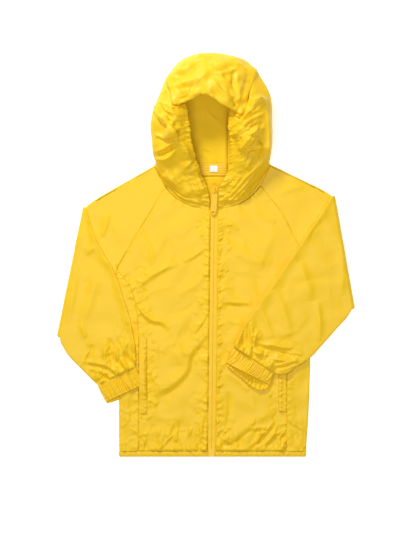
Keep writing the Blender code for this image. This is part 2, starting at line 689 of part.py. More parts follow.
def make_box(finish):
    """The retaining box at the foot of the zip, a small moulded block on the tapes."""
    shape = bmesh.new()
    x = zip_middle((BOX_TOP + BOX_FOOT) / 2)
    under = LAYERS + REST
    bar(shape, (x - BOX_WIDTH / 2, BOX_FOOT, under), (x + BOX_WIDTH / 2, BOX_TOP, under + BOX_WALL))
    bmesh.ops.bevel(shape, geom=shape.edges[:], offset=BOX_ROUND * MM, affect="EDGES", segments=2,
                    profile=0.5, material=-1)
    return add_object("zip_box", shape, finish)


def hang(parts, slope):
    """Put parts that were made about the hinge in their place, tipped so their +Y end rises."""
    empty = bpy.data.objects.new("hinge", None)
    bpy.context.scene.collection.objects.link(empty)
    empty.location = [length * MM for length in HINGE]
    empty.rotation_euler = (slope, 0, 0)
    for part in parts:
        part.parent = empty


# ---------------------------------------------------------------- the garment

def build():
    """Make every piece."""
    for thing in list(bpy.data.objects):
        bpy.data.objects.remove(thing, do_unlink=True)
    shell = material("shell cloth", CLOTH_YELLOW)
    binding = material("binding", WELT_YELLOW)
    hard = material("zip plastic", ZIP_YELLOW, roughness=0.35)
    white = material("label", LABEL_WHITE, roughness=0.7)

    cloth("back", trimmed(back_grid(), TRIM, TRIM, TRIM, TRIM), shell)
    cloth("hem_binding", hem_grid() - (0, TRIM, 0), binding)
    for side in ("right", "left"):
        mirrored = side == "left"
        front = trimmed(front_grid(side), TRIM, TRIM, TRIM, 0)
        cloth("front_" + side, front, shell, turn_over=mirrored)
        sleeve = sleeve_grid(side)
        heads = len(SHOULDER[side])
        sleeve[:heads] = trimmed(sleeve[:heads], 0, 0, TRIM, TRIM)
        sleeve = trimmed(sleeve, first_row=NECK_TRIM, last_row=TRIM)
        cloth("sleeve_" + side, sleeve, shell, turn_over=mirrored)
        cuff = trimmed(cuff_grid(side), first_row=TRIM)
        cloth("cuff_" + side, cuff, binding, turn_over=mirrored)
        cloth("pocket_welt_" + side, welt_grid(side), binding, turn_over=mirrored)
        cloth("zip_tape_" + side, tape_grid(side), hard, turn_over=not mirrored)

    sides = {side: hood_side_grid(side) for side in ("right", "left")}
    for side, grid in sides.items():
        cloth("hood_side_" + side, trimmed(grid, TRIM, NECK_TRIM, 0, TRIM), shell,
              turn_over=side == "left")
    centre = hood_centre_grid(sides["right"], sides["left"])
    cloth("hood_centre", trimmed(centre, 0, TRIM, TRIM, TRIM), shell)

    tape_top = WALL + REST + WALL
    cloth("neck_tape", strip_grid(TAPE, tape_top), binding)
    cloth("size_label", strip_grid(LABEL, tape_top + REST + LABEL_WALL), white, wall=LABEL_WALL)

    hang(make_slider(hard), SLIDER_SLOPE)
    hang(make_pull(hard), PULL_SLOPE)
    make_box(hard)


build()
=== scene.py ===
import math
from collections import namedtuple

import bmesh
import bpy
import numpy as np
from mathutils import Matrix, Vector


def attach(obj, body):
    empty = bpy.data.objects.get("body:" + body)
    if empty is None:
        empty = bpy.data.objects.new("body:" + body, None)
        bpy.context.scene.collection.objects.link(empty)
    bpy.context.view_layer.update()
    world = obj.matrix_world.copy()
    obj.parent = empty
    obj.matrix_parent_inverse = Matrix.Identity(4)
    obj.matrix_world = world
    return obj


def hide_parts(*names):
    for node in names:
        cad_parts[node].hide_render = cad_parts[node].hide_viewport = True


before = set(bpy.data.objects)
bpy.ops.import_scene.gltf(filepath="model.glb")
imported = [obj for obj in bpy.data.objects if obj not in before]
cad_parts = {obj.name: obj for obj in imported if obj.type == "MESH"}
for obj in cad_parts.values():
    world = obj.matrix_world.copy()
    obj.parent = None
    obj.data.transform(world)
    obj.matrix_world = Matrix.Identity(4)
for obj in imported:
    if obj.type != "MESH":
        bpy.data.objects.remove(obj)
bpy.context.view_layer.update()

# ---------------------------------------------------------------- back
# One panel of light plain-weave nylon under the whole body, whose sides wrap forward to the side
# seams on the front. It is joined to the fronts, sleeves and hood by overlocked seams. Lengths
# are millimetres until a mesh is made; +X is the wearer's left, +Y the hood and +Z up.

MM = 0.001
LAYERS = 4.4                  # two layers on each other, outside to outside
ROUND = LAYERS / 2            # radius of a soft edge
SHEET = 0.35                  # the cloth's own thickness, with its weave


def mix(a, b, share):
    """The point that lies the given share of the way from a to b."""
    return np.asarray(a, float) + (np.asarray(b, float) - np.asarray(a, float)) * share


def spline(keys, points, places):
    """Points at the given places of a smooth curve that passes through points at the keys."""
    keys = np.asarray(keys, float)
    points = np.asarray(points, float)
    places = np.asarray(places, float)
    slopes = np.gradient(points, keys, axis=0)
    at = np.clip(np.searchsorted(keys, places, side="right") - 1, 0, len(keys) - 2)
    step = (keys[at + 1] - keys[at])[:, None]
    f = (places - keys[at])[:, None] / step
    start = (1 + 2 * f) * (1 - f) ** 2 * points[at] + f * (1 - f) ** 2 * step * slopes[at]
    end = f ** 2 * (3 - 2 * f) * points[at + 1] + f ** 2 * (f - 1) * step * slopes[at + 1]
    return start + end


def travelled(points, axis=0):
    """How far along the points each one lies."""
    steps = np.linalg.norm(np.diff(points, axis=axis), axis=-1)
    run = np.cumsum(steps, axis=axis)
    return np.insert(run, 0, 0, axis=axis)


def even(points, count):
    """count points evenly spaced along the smooth curve through points."""
    points = np.asarray(points, float)
    keys = travelled(points)
    fine = spline(keys, points, np.linspace(0, keys[-1], 12 * len(points)))
    run = travelled(fine)
    return np.array([np.interp(np.linspace(0, run[-1], count), run, c) for c in fine.T]).T


def normals(grid, turn_over=False):
    """The outward direction at each point of a grid."""
    up = np.gradient(grid, axis=0)
    across = np.gradient(grid, axis=1)
    out = np.cross(across, up)
    out = out / np.maximum(np.linalg.norm(out, axis=-1, keepdims=True), 1e-9)
    return -out if turn_over else out


Inset = namedtuple("Inset", "first_row last_row first_column last_column")


def inset(grid):
    """How far each point lies from the four edges of its grid, along the cloth."""
    up, across = travelled(grid, 0), travelled(grid, 1)
    return Inset(up, up[-1:] - up, across, across[:, -1:] - across)


# A soft ridge (rise above 0) or trough (below 0) along a line of points. left and right are
# its widths on each side of its run; the narrow side is the steep one.
Crease = namedtuple("Crease", "points rise left right")


def creased(x, y, creases, from_seam=False):
    """The height that creases add at the points x, y. From a seam, they only fade away from it."""
    height = np.zeros_like(x)
    for points, rise, left, right in creases:
        line = even(points, 3 if from_seam else 15) if len(points) > 2 else np.array(points, float)
        sharp = np.interp(max(left, right), (2.5, 9), (1.1, 1.7))
        reach = 2.8 * max(left, right)
        low, high = line.min(axis=0) - reach, line.max(axis=0) + reach
        near = (x > low[0]) & (x < high[0]) & (y > low[1]) & (y < high[1])
        if not near.any():
            continue
        px, py = x[near], y[near]
        best = np.full(px.shape, 1e9)
        share = np.zeros(px.shape)
        side = np.ones(px.shape)
        for number, (a, b) in enumerate(zip(line[:-1], line[1:])):
            run = b - a
            square = max(run @ run, 1e-9)
            f = np.clip(((px - a[0]) * run[0] + (py - a[1]) * run[1]) / square, 0, 1)
            dx, dy = px - a[0] - f * run[0], py - a[1] - f * run[1]
            away = np.hypot(dx, dy)
            closer = away < best
            best = np.where(closer, away, best)
            share = np.where(closer, (number + f) / (len(line) - 1), share)
            side = np.where(closer, np.sign(run[0] * dy - run[1] * dx), side)
        width = np.where(side > 0, left, right)
        fade = (1 - share) ** 0.8 if from_seam else (4 * share * (1 - share)) ** 0.55
        height[near] += rise * fade * np.exp(-(best / width) ** sharp)
    return height


def puckers(x, y, line, side, reach, rise, pitch, seed, lean=0.0):
    """Short uneven gathers that run off a seam, to the left of its run or, for -1, the right."""
    random = np.random.default_rng(seed)
    line = even(line, max(3, round(travelled(np.asarray(line, float))[-1] / 4)))
    run = travelled(line)
    rows = []
    place = pitch * random.uniform(0.2, 0.8)
    while place < run[-1]:
        at = [np.interp(place, run, c) for c in line.T]
        ahead = [np.interp(place + 1, run, c) - np.interp(place - 1, run, c) for c in line.T]
        angle = math.atan2(ahead[1], ahead[0]) + side * math.pi / 2
        angle += random.normal(lean, 0.22)
        long = reach * random.uniform(0.4, 1.15)
        bend = random.normal(0, 0.12) * long
        step = np.array((math.cos(angle), math.sin(angle)))
        square = np.array((-step[1], step[0]))
        middle = at + step * long * 0.5 + square * bend
        wide = pitch * random.uniform(0.2, 0.42)
        rows.append(Crease([at, middle, at + step * long], rise * random.uniform(0.2, 1.35),
                           wide, wide * random.uniform(0.6, 1.7)))
        place += pitch * random.uniform(0.45, 1.6)
    return creased(x, y, rows, from_seam=True)


Strewn = namedtuple("Strewn", "right left low high count long angle spread rise wide")


def strewn(x, y, fields, seed):
    """Short sharp creases of uneven length, depth and direction, strewn over boxes."""
    random = np.random.default_rng(seed)
    rows = []
    for field in fields:
        for _ in range(field.count):
            at = np.array((random.uniform(field.right, field.left),
                           random.uniform(field.low, field.high)))
            turn = math.radians(field.angle) + random.normal(0, field.spread)
            half = field.long * random.uniform(0.25, 0.7)
            step = np.array((math.cos(turn), math.sin(turn))) * half
            bend = np.array((-step[1], step[0])) * random.normal(0, 0.25)
            wide = field.wide * random.uniform(0.7, 1.4)
            rows.append(Crease([at - step, at + bend, at + step],
                               field.rise * random.uniform(-1.0, 1.3),
                               wide, wide * random.uniform(0.7, 2.2)))
    return creased(x, y, rows)


def billow(x, y, size, seed, waves=9):
    """Slow uneven undulation of about the given size, between about -1 and 1."""
    random = np.random.default_rng(seed)
    total = np.zeros_like(x)
    for _ in range(waves):
        angle = random.uniform(0, 2 * math.pi)
        long = size * random.uniform(0.65, 1.7)
        bend = random.uniform(0.5, 1.5) * np.sin((y * math.cos(angle) - x * math.sin(angle))
                                                 / size * 2.1 + random.uniform(0, 6))
        total += np.cos((x * math.cos(angle) + y * math.sin(angle)) * 2 * math.pi / long
                        + bend + random.uniform(0, 6.3))
    return total / math.sqrt(waves)


def crumpled(x, y, size, seed, waves=4):
    """Flat facets that meet in sharp creases, as thin nylon crumples, between about -1 and 1."""
    random = np.random.default_rng(seed)
    total = np.zeros_like(x)
    for _ in range(waves):
        angle = random.uniform(0, 2 * math.pi)
        long = size * random.uniform(0.8, 1.9)
        ahead = x * math.cos(angle) + y * math.sin(angle)
        beside = y * math.cos(angle) - x * math.sin(angle)
        bend = random.uniform(0.8, 1.8) * np.sin(beside / size * 1.3 + random.uniform(0, 6))
        wave = np.sin(ahead * 2 * math.pi / long + bend + random.uniform(0, 6.3))
        total += np.arcsin(0.985 * wave) * 2 / math.pi
    return total / math.sqrt(waves)


def groove(distance, depth=0.4, width=1.6):
    """The dip of a seam, at a distance from its line."""
    return -depth * np.exp(-(distance / width) ** 2)


class Socket:
    """A shader node's output, which can be added, multiplied and led into other nodes."""

    def __init__(self, output):
        self.output = output

    def node(self, kind, settings, inputs):
        """Another node: its settings, then the values or links of its sockets."""
        tree = self.output.id_data
        made = tree.nodes.new(kind)
        for name, value in settings.items():
            setattr(made, name, value)
        for name, value in inputs.items():
            if isinstance(value, Socket):
                tree.links.new(value.output, made.inputs[name])
            else:
                made.inputs[name].default_value = value
        return Socket(made.outputs[0])

    def __add__(self, other):
        return self.node("ShaderNodeMath", {"operation": "ADD"}, {0: self, 1: other})

    def __mul__(self, other):
        return self.node("ShaderNodeMath", {"operation": "MULTIPLY"}, {0: self, 1: other})

    __radd__ = __add__
    __rmul__ = __mul__


def plain(name, colour, roughness, sheen=0.5):
    """A material of one colour and gloss, and its shader's sockets."""
    made = bpy.data.materials.new(name)
    made.use_nodes = True
    sockets = made.node_tree.nodes["Principled BSDF"].inputs
    sockets["Base Color"].default_value = (*colour, 1)
    sockets["Roughness"].default_value = roughness
    sockets["Specular IOR Level"].default_value = sheen
    return made, sockets


def nylon(name, colour, roughness=0.42, crumple=0.25, sheen=0.31):
    """Thin nylon: a plain colour, a soft sheen, a fine weave and slight crumpling."""
    made, sockets = plain(name, colour, roughness, sheen)
    sockets["IOR"].default_value = 1.5
    sockets["Subsurface Weight"].default_value = 0.04
    sockets["Subsurface Radius"].default_value = (1.0, 0.7, 0.12)
    sockets["Subsurface Scale"].default_value = 0.003
    place = Socket(made.node_tree.nodes.new("ShaderNodeTexCoord").outputs["Object"])
    soft = place.node("ShaderNodeTexNoise", {},
                      {"Vector": place, "Scale": 85.0, "Detail": 4.0, "Roughness": 0.5})
    weave = place.node("ShaderNodeTexNoise", {},
                       {"Vector": place, "Scale": 1400.0, "Detail": 1.0})
    bump = place.node("ShaderNodeBump", {}, {"Height": soft * crumple + weave * 0.02,
                                             "Strength": 0.5, "Distance": 0.003})
    made.node_tree.links.new(bump.output, sockets["Normal"])
    return made


def add_mesh(name, shape, finish, body="garment"):
    """An object made of a bmesh, riding on a body."""
    mesh = bpy.data.meshes.new(name)
    shape.to_mesh(mesh)
    shape.free()
    mesh.materials.append(finish)
    mesh.shade_smooth()
    made = bpy.data.objects.new(name, mesh)
    bpy.context.scene.collection.objects.link(made)
    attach(made, body)
    return made


def cloth(name, node, grid, finish, turn_over=False, wall=SHEET):
    """A piece of cloth whose outer face passes through a grid, in the place of a CAD node."""
    rows, columns = grid.shape[:2]
    shape = bmesh.new()
    bmesh.ops.create_grid(shape, x_segments=columns - 1, y_segments=rows - 1, size=1)
    metres = (grid[:, ::-1] if turn_over else grid) * MM
    for vertex in shape.verts:
        column = round((vertex.co.x + 1) / 2 * (columns - 1))
        row = round((vertex.co.y + 1) / 2 * (rows - 1))
        vertex.co = metres[row, column]
    bmesh.ops.remove_doubles(shape, verts=shape.verts, dist=0.02 * MM)
    made = add_mesh(name, shape, finish)
    made.data.materials.append(WRONG_SIDE)
    thick = made.modifiers.new("Wall", "SOLIDIFY")
    thick.thickness = wall * MM
    thick.offset = -1
    thick.material_offset = 1
    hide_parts(node)
    return made


SHELL = nylon("shell nylon", (0.96, 0.596, 0.014))
WRONG_SIDE = nylon("nylon wrong side", (0.95, 0.61, 0.022), roughness=0.7, sheen=0.06)

HEM_TOP = -342.0
NECK_BACK = 137.0
BODY_TOP = -27.5              # where the body starts, below the armholes
BODY_Y = [BODY_TOP, -44.0, -66.0, -104.0, -142.0, -196.0, -250.0, -300.0, HEM_TOP]
RIGHT_EDGE = [-166.8, -165.6, -164.4, -162.7, -161.8, -161.8, -161.8, -161.8, -161.5]
RIGHT_SEAM = [-164.0, -150.0, -138.2, -130.5, -127.9, -127.9, -127.9, -127.9, -127.9]
LEFT_SEAM = [169.2, 155.0, 142.7, 133.1, 130.5, 130.5, 130.5, 130.0, 129.3]
LEFT_EDGE = [172.5, 173.6, 174.0, 172.3, 171.6, 170.4, 168.8, 166.2, 163.2]
BACK_RAGLAN = {
    "right": [(-70.0, NECK_BACK), (-84.0, 110.0), (-100.0, 82.0), (-118.0, 52.0),
              (-136.0, 24.4), (-164.6, -22.6)],
    "left": [(70.0, NECK_BACK), (86.0, 110.0), (104.0, 80.0), (126.0, 45.0), (146.0, 15.3),
             (169.8, -22.6)],
}
YOKE_ROWS, BODY_ROWS = 40, 190        # between the armholes, and below them
SIDE_COLUMNS, TURN_COLUMNS, UNDER_COLUMNS = 26, 9, 38


def side_end(end_x, edge_x, y, sign, columns):
    """One side of a section: from its end on the front, round the folded edge, to underneath."""
    tangent = edge_x - sign * ROUND
    line = [(mix(end_x, tangent, share), y, LAYERS) for share in np.linspace(0, 1, columns)[:-1]]
    for angle in np.radians(np.linspace(90, -90, TURN_COLUMNS)):
        line.append((tangent + sign * ROUND * math.cos(angle), y, ROUND + ROUND * math.sin(angle)))
    return np.array(line)


def body_section(y, right_end, right_edge, left_edge, left_end, columns, under_columns):
    """A line round the body, from one end on the front, underneath, to the other end."""
    right = side_end(right_end, right_edge, y, -1, columns)
    left = side_end(left_end, left_edge, y, 1, columns)
    under = [mix(right[-1], left[-1], share) for share in np.linspace(0, 1, under_columns)[1:-1]]
    return np.vstack((right, under, left[::-1]))


back_rows = []
wrapped = SIDE_COLUMNS + TURN_COLUMNS - 1
for right_end, left_end in zip(even(BACK_RAGLAN["right"], YOKE_ROWS),
                               even(BACK_RAGLAN["left"], YOKE_ROWS)):
    flat_row = [mix((*right_end, 0), (*left_end, 0), share)
                for share in np.linspace(0, 1, UNDER_COLUMNS)[1:-1]]
    back_rows.append(np.array([(*right_end, 0)] * wrapped + flat_row + [(*left_end, 0)] * wrapped))
sides = np.array((BODY_Y, RIGHT_SEAM, RIGHT_EDGE, LEFT_EDGE, LEFT_SEAM)).T
depths = np.interp(np.linspace(0, 1, BODY_ROWS), (0, 0.12, 1), (0, 26, BODY_TOP - HEM_TOP))
for line in spline(BODY_TOP - np.array(BODY_Y), sides, depths):
    back_rows.append(body_section(*line, SIDE_COLUMNS, UNDER_COLUMNS))
back_grid = np.array(back_rows)

x, y = back_grid[..., 0], back_grid[..., 1]
outward = normals(back_grid)
on_top = np.clip(outward[..., 2] * 1.4, 0, 1) * (back_grid[..., 2] > 0.5 * LAYERS)
seam_y = -np.arange(35, -HEM_TOP, 6.0)
seam_lines = {side: np.array((np.interp(seam_y, BODY_Y[::-1], seam[::-1]), seam_y)).T
              for side, seam in (("right", RIGHT_SEAM), ("left", LEFT_SEAM))}
SIDE_CREASES = [
    Crease([(-159, -60), (-150, -110), (-147, -160)], 0.9, 6, 4),
    Crease([(-150, -190), (-146, -240), (-149, -290)], 0.7, 5, 5),
    Crease([(-144, -298), (-152, -322), (-158, -338)], 0.9, 3, 3),
    Crease([(-146, -300), (-136, -305), (-125, -315)], 0.9, 3, 3),
    Crease([(-158, -300), (-148, -290), (-144, -281)], 0.8, 3, 3),
    Crease([(160, -80), (152, -140), (150, -200)], 0.9, 5, 5),
    Crease([(132, -287), (138, -292), (144, -299)], 0.9, 3, 2),
    Crease([(134, -300), (143, -305), (151, -316)], 0.8, 3, 3),
    Crease([(133, -303), (137, -314), (140, -328)], 0.8, 3, 3),
    Crease([(150, -280), (156, -300), (157, -322)], 0.7, 4, 3),
    Crease([(-171, -28), (-153, -77), (-140, -121), (-134, -160), (-132, -196)], -0.4, 5, 5),
]
SIDE_FIELDS = [
    Strewn(-160, -130, -338, -270, 34, 18, 60, 0.5, 1.3, 1.6),
    Strewn(-146, -129, -260, -40, 30, 11, 10, 0.6, 0.9, 1.6),
    Strewn(131, 164, -338, -270, 30, 20, -50, 0.5, 1.2, 1.6),
    Strewn(131, 146, -260, -60, 16, 11, 170, 0.6, 0.8, 1.6),
]
height = 0.25 * billow(x, y, 60, 11) + 0.9 * crumpled(x, y, 26, 12)
height += 1.8 * creased(x, y, SIDE_CREASES) + strewn(x, y, SIDE_FIELDS, 17)
for line, side, reach, rise, pitch, seed in (
        (seam_lines["right"], -1, 13, 1.9, 8, 13),
        (seam_lines["left"], 1, 13, 1.9, 8, 14),
        ([(-164, HEM_TOP), (-127, HEM_TOP)], 1, 18, 2.2, 6.5, 15),
        ([(128, HEM_TOP), (166, HEM_TOP)], 1, 18, 2.2, 6.5, 16)):
    height += puckers(x, y, line, side, reach, rise, pitch, seed)
edges = inset(back_grid)
height += groove(np.minimum(edges.first_column, edges.last_column), 0.6, 1.2)
height = np.where(back_grid[..., 1] < -30, height, 0) * on_top
back = cloth("back_panel", "back", back_grid + outward * np.nan_to_num(height)[..., None], SHELL)

# ---------------------------------------------------------------- fronts
# Two panels from the hem to the neck, pleated softly between the zip, the underarm and the
# pocket, gathered a little along every seam. Their edges are turned under beside the zip.

SIGN = {"right": -1, "left": 1}
FRONT_RAGLAN = {
    "right": [(-82.7, 121.3), (-93.5, 100.5), (-105.3, 78.3), (-121.5, 51.5), (-138.2, 24.4),
              (-164.6, -22.6)],
    "left": [(84.4, 121.3), (103.0, 98.0), (122.5, 72.2), (140.4, 36.2), (153.6, 15.3),
             (169.8, -22.6)],
}
FRONT_NECK = {
    "right": [(-4.2, 78.0), (-22.6, 81.8), (-41.4, 87.0), (-58.0, 95.5), (-71.5, 107.5),
              (-82.7, 121.3)],
    "left": [(11.6, 78.0), (25.0, 81.8), (43.2, 87.0), (59.5, 95.5), (73.0, 107.5),
             (84.4, 121.3)],
}
ZIP_TOP, ZIP_FOOT = (4.7, 118.0), (-0.9, -350.6)
ZIP_MARGIN = 6.6              # from the middle of the zip to the edge of a front
SEAM_MARGIN = 1.3             # of a front that lies under its neighbour at a seam
FRONT_ROWS, FRONT_ACROSS = 300, 108
SEAM_SHARE = 0.66             # of the rows that lie below the armhole


def zip_middle(y):
    """x of the zip's middle line, which lies a little aslant."""
    share = (y - ZIP_FOOT[1]) / (ZIP_TOP[1] - ZIP_FOOT[1])
    return ZIP_FOOT[0] + (ZIP_TOP[0] - ZIP_FOOT[0]) * share


def patch(bottom, top, left, right):
    """A grid that fills four edges: bottom and top run left to right, left and right run up."""
    across = np.linspace(0, 1, len(bottom))[None, :, None]
    up = np.linspace(0, 1, len(left))[:, None, None]
    rows = (1 - across) * left[:, None] + across * right[:, None]
    columns = (1 - up) * bottom[None] + up * top[None]
    corners = ((1 - across) * ((1 - up) * bottom[0] + up * top[0])
               + across * ((1 - up) * bottom[-1] + up * top[-1]))
    return rows + columns - corners


def front_grid(side):
    """One front, from the hem up and from the side seam to the zip."""
    seam = np.array((RIGHT_SEAM if side == "right" else LEFT_SEAM, BODY_Y)).T[::-1]
    margin = (SIGN[side] * SEAM_MARGIN, 0)
    low = even(seam, round(FRONT_ROWS * SEAM_SHARE)) + margin
    high = even(FRONT_RAGLAN[side][::-1], FRONT_ROWS - len(low) + 1) + margin
    outer = np.vstack((low, high[1:]))
    reach = (outer[:, 1] - outer[0, 1]) / (outer[-1, 1] - outer[0, 1])
    ys = HEM_TOP + (FRONT_NECK[side][0][1] - HEM_TOP) * reach
    middle = np.array((zip_middle(ys) + SIGN[side] * ZIP_MARGIN, ys)).T
    neck = even(FRONT_NECK[side][::-1], FRONT_ACROSS)
    hem = np.array([mix(outer[0], middle[0], share) for share in np.linspace(0, 1, FRONT_ACROSS)])
    plan = patch(hem, neck, outer, middle)
    return np.dstack((plan, np.full(plan.shape[:2], LAYERS)))


FRONT_CREASES = {
    "right": [
        Crease([(-7, 16), (-28, 0), (-50, -12)], 1.3, 3.5, 7),
        Crease([(-59, -15), (-94, -29), (-115, -43), (-131, -60)], 1.4, 4, 9),
        Crease([(-134, -82), (-115, -106), (-103, -114), (-87, -117), (-73, -129)], 1.5, 5, 3.5),
        Crease([(-136, -80), (-121, -108), (-106, -121), (-88, -125), (-76, -138)], -0.9, 4, 5),
        Crease([(-7, -136), (-21, -154), (-34, -165), (-42, -181), (-45, -198), (-53, -210),
                (-65, -221), (-81, -231), (-101, -240)], 2.0, 7, 14),
        Crease([(-5, -143), (-17, -158), (-28, -170), (-33, -184), (-36, -200), (-45, -216),
                (-58, -228), (-74, -240), (-96, -250)], -0.9, 9, 5),
        Crease([(-8, -100), (-16, -117), (-25, -127), (-33, -137)], 1.1, 3, 6),
        Crease([(-10, -106), (-15, -122), (-22, -132), (-29, -141)], -0.8, 4, 3),
        Crease([(-112, -251), (-104, -255), (-95, -262)], 0.8, 3, 3),
        Crease([(-113, -303), (-90, -310), (-66, -314), (-40, -316)], 0.7, 5, 8),
        Crease([(-15, -277), (-18, -304), (-21, -338)], 1.3, 3, 5),
        Crease([(-26, -294), (-23, -315), (-12, -338)], -0.9, 4, 4),
        Crease([(-90, -169), (-77, -157), (-59, -153)], 0.8, 5, 8),
        Crease([(-63, -141), (-49, -162), (-44, -176)], 0.8, 4, 6),
        Crease([(-64, -168), (-58, -180), (-57, -192)], 0.6, 4, 5),
        Crease([(-20, 60), (-45, 40), (-70, 10)], 0.6, 9, 14),
        Crease([(-8, -30), (-30, -52), (-60, -70)], 0.7, 6, 10),
        Crease([(-80, 60), (-90, 20), (-110, -10)], 0.7, 8, 12),
        Crease([(-100, -150), (-96, -190), (-102, -220)], 0.6, 6, 9),
        Crease([(-110, -275), (-80, -285), (-50, -280)], 0.6, 8, 10),
        Crease([(-9, -230), (-20, -250), (-40, -262)], 0.7, 5, 8),
        Crease([(-153, -77), (-140, -121), (-134, -160), (-132, -196)], -0.4, 5, 5),
    ],
    "left": [
        Crease([(7, 64), (21, 59), (37, 50), (45, 42)], 0.9, 5, 4),
        Crease([(70, 78), (87, 66), (111, 57)], 0.9, 4, 7),
        Crease([(17, -82), (42, -83), (70, -84)], 1.2, 6, 3.5),
        Crease([(17, -88), (42, -89), (66, -91)], -0.6, 4, 4),
        Crease([(24, -204), (45, -218), (64, -237)], 0.8, 7, 5),
        Crease([(30, -238), (30, -273), (24, -306)], -0.9, 4, 5),
        Crease([(13, -330), (30, -331), (38, -327), (52, -318), (66, -308)], -1.3, 3.5, 4),
        Crease([(16, -322), (40, -315), (62, -298), (84, -284), (104, -272)], 1.4, 12, 8),
        Crease([(62, -308), (88, -306), (104, -304), (112, -294)], -1.1, 2.6, 3),
        Crease([(60, -302), (86, -300), (102, -297), (108, -288)], 0.9, 3, 3),
        Crease([(68, -340), (80, -328), (92, -315), (104, -306)], -1.2, 2.6, 3),
        Crease([(64, -335), (76, -323), (88, -311)], 1.0, 3.5, 3),
        Crease([(96, -337), (106, -323), (118, -311), (127, -303)], -1.1, 2.6, 3),
        Crease([(90, -334), (100, -321), (113, -308)], 0.9, 3, 3),
        Crease([(118, -332), (123, -318), (130, -308)], -0.8, 2.6, 3),
        Crease([(107, -289), (110, -278), (115, -274)], -0.8, 2.6, 2.6),
        Crease([(20, 30), (50, 0), (90, -20)], 0.7, 10, 14),
        Crease([(110, 40), (90, 0), (84, -40)], 0.7, 8, 12),
        Crease([(14, -20), (40, -30), (70, -26)], 0.5, 6, 10),
        Crease([(40, -180), (60, -210), (90, -240)], 0.7, 8, 10),
        Crease([(100, -215), (96, -240), (104, -262)], 0.6, 6, 8),
        Crease([(12, -260), (22, -280), (40, -290)], 0.7, 5, 7),
        Crease([(168, 42), (142, 5), (116, -32), (90, -70), (63, -109), (48, -138), (37, -161)],
               -0.4, 4, 6),
    ],
}
FRONT_FIELDS = {
    "right": [
        Strewn(-127, -108, -335, -20, 66, 15, 15, 0.7, 1.0, 1.7),
        Strewn(-30, -8, -335, 70, 60, 12, 160, 0.6, 0.9, 1.7),
        Strewn(-120, -8, -336, -300, 44, 22, 75, 0.35, 1.4, 1.8),
        Strewn(-125, -15, -280, 60, 26, 60, 35, 0.8, 0.9, 5.0),
        Strewn(-112, -96, -275, -140, 34, 12, 35, 0.6, 1.0, 1.7),
    ],
    "left": [
        Strewn(8, 30, -335, 70, 60, 12, 20, 0.6, 0.9, 1.7),
        Strewn(60, 128, -336, -290, 40, 24, 50, 0.3, 1.4, 1.8),
        Strewn(10, 60, -336, -308, 20, 18, 75, 0.35, 1.2, 1.8),
        Strewn(15, 125, -280, 60, 24, 60, 150, 0.8, 0.9, 5.0),
        Strewn(100, 116, -290, -215, 20, 12, 150, 0.6, 1.0, 1.7),
    ],
}
fronts = {}
for side in ("right", "left"):
    grid = front_grid(side)
    x, y = grid[..., 0], grid[..., 1]
    edges = inset(grid)
    sign = SIGN[side]
    zip_edge = [(zip_middle(v) + sign * ZIP_MARGIN, v) for v in range(-338, 78, 8)]
    hem_ends = [(sign * 128, HEM_TOP), (sign * 6, HEM_TOP)]
    height = 0.5 * billow(x, y, 85, 21 + sign) + 0.6 * crumpled(x, y, 34, 24 + sign)
    height += (1.9 + 0.5 * (y < -230)) * creased(x, y, FRONT_CREASES[side])
    height += 1.4 * strewn(x, y, FRONT_FIELDS[side], 27 + sign)
    for line, reach, rise, pitch, seed, lean in (
            (zip_edge, 14, 2.9, 5.2, 31, 0.5 * sign),
            (zip_edge, 36, 1.6, 16, 34, 0.4 * sign),
            (seam_lines[side], 17, 2.4, 7.5, 37, 0),
            (FRONT_RAGLAN[side], 12, 0.8, 10, 41, 0),
            (FRONT_NECK[side], 14, 1.2, 8, 44, 0),
            (hem_ends, 16, 2.8, 4.9, 47, 0),
            (hem_ends, 30, 2.9, 9.5, 147, 0.3),
            (hem_ends, 50, 1.9, 20, 150, -0.5)):
        height += puckers(x, y, line, -sign, reach, rise, pitch, seed + sign, lean)
    height *= np.clip(edges.first_column / 3, 0.2, 1) * np.clip(edges.first_row / 3.5, 0.15, 1)
    height *= np.clip(edges.last_column / 3, 0.25, 1)
    height += groove(edges.first_column, 0.9, 1.5) + groove(edges.last_row)
    height += groove(edges.last_column, 0.3, 1.2)
    grid[..., 2] += height
    fronts[side] = grid
    panel = cloth("front_" + side + "_panel", "front_" + side, grid, SHELL,
                  turn_over=side == "left")

# ---------------------------------------------------------------- hem binding
# A narrow band of the same nylon, folded over flat elastic and sewn round the lower edge. It is
# gathered, so it is ribbed, and it stops at both sides of the zip.

BINDING = nylon("gathered nylon", (0.95, 0.58, 0.014), crumple=0.15)
HEM_FOOT = -350.8
HEM_RUN = 690                 # length of the binding's gathers, round the body
BAND_ROWS, BAND_SIDE_COLUMNS, BAND_UNDER_COLUMNS = 9, 130, 60


def edge_line(length, inside=0):
    """A straight line beside a panel's edge, as the distance along it and the distance inside."""
    return [(0, inside), (length, inside)]


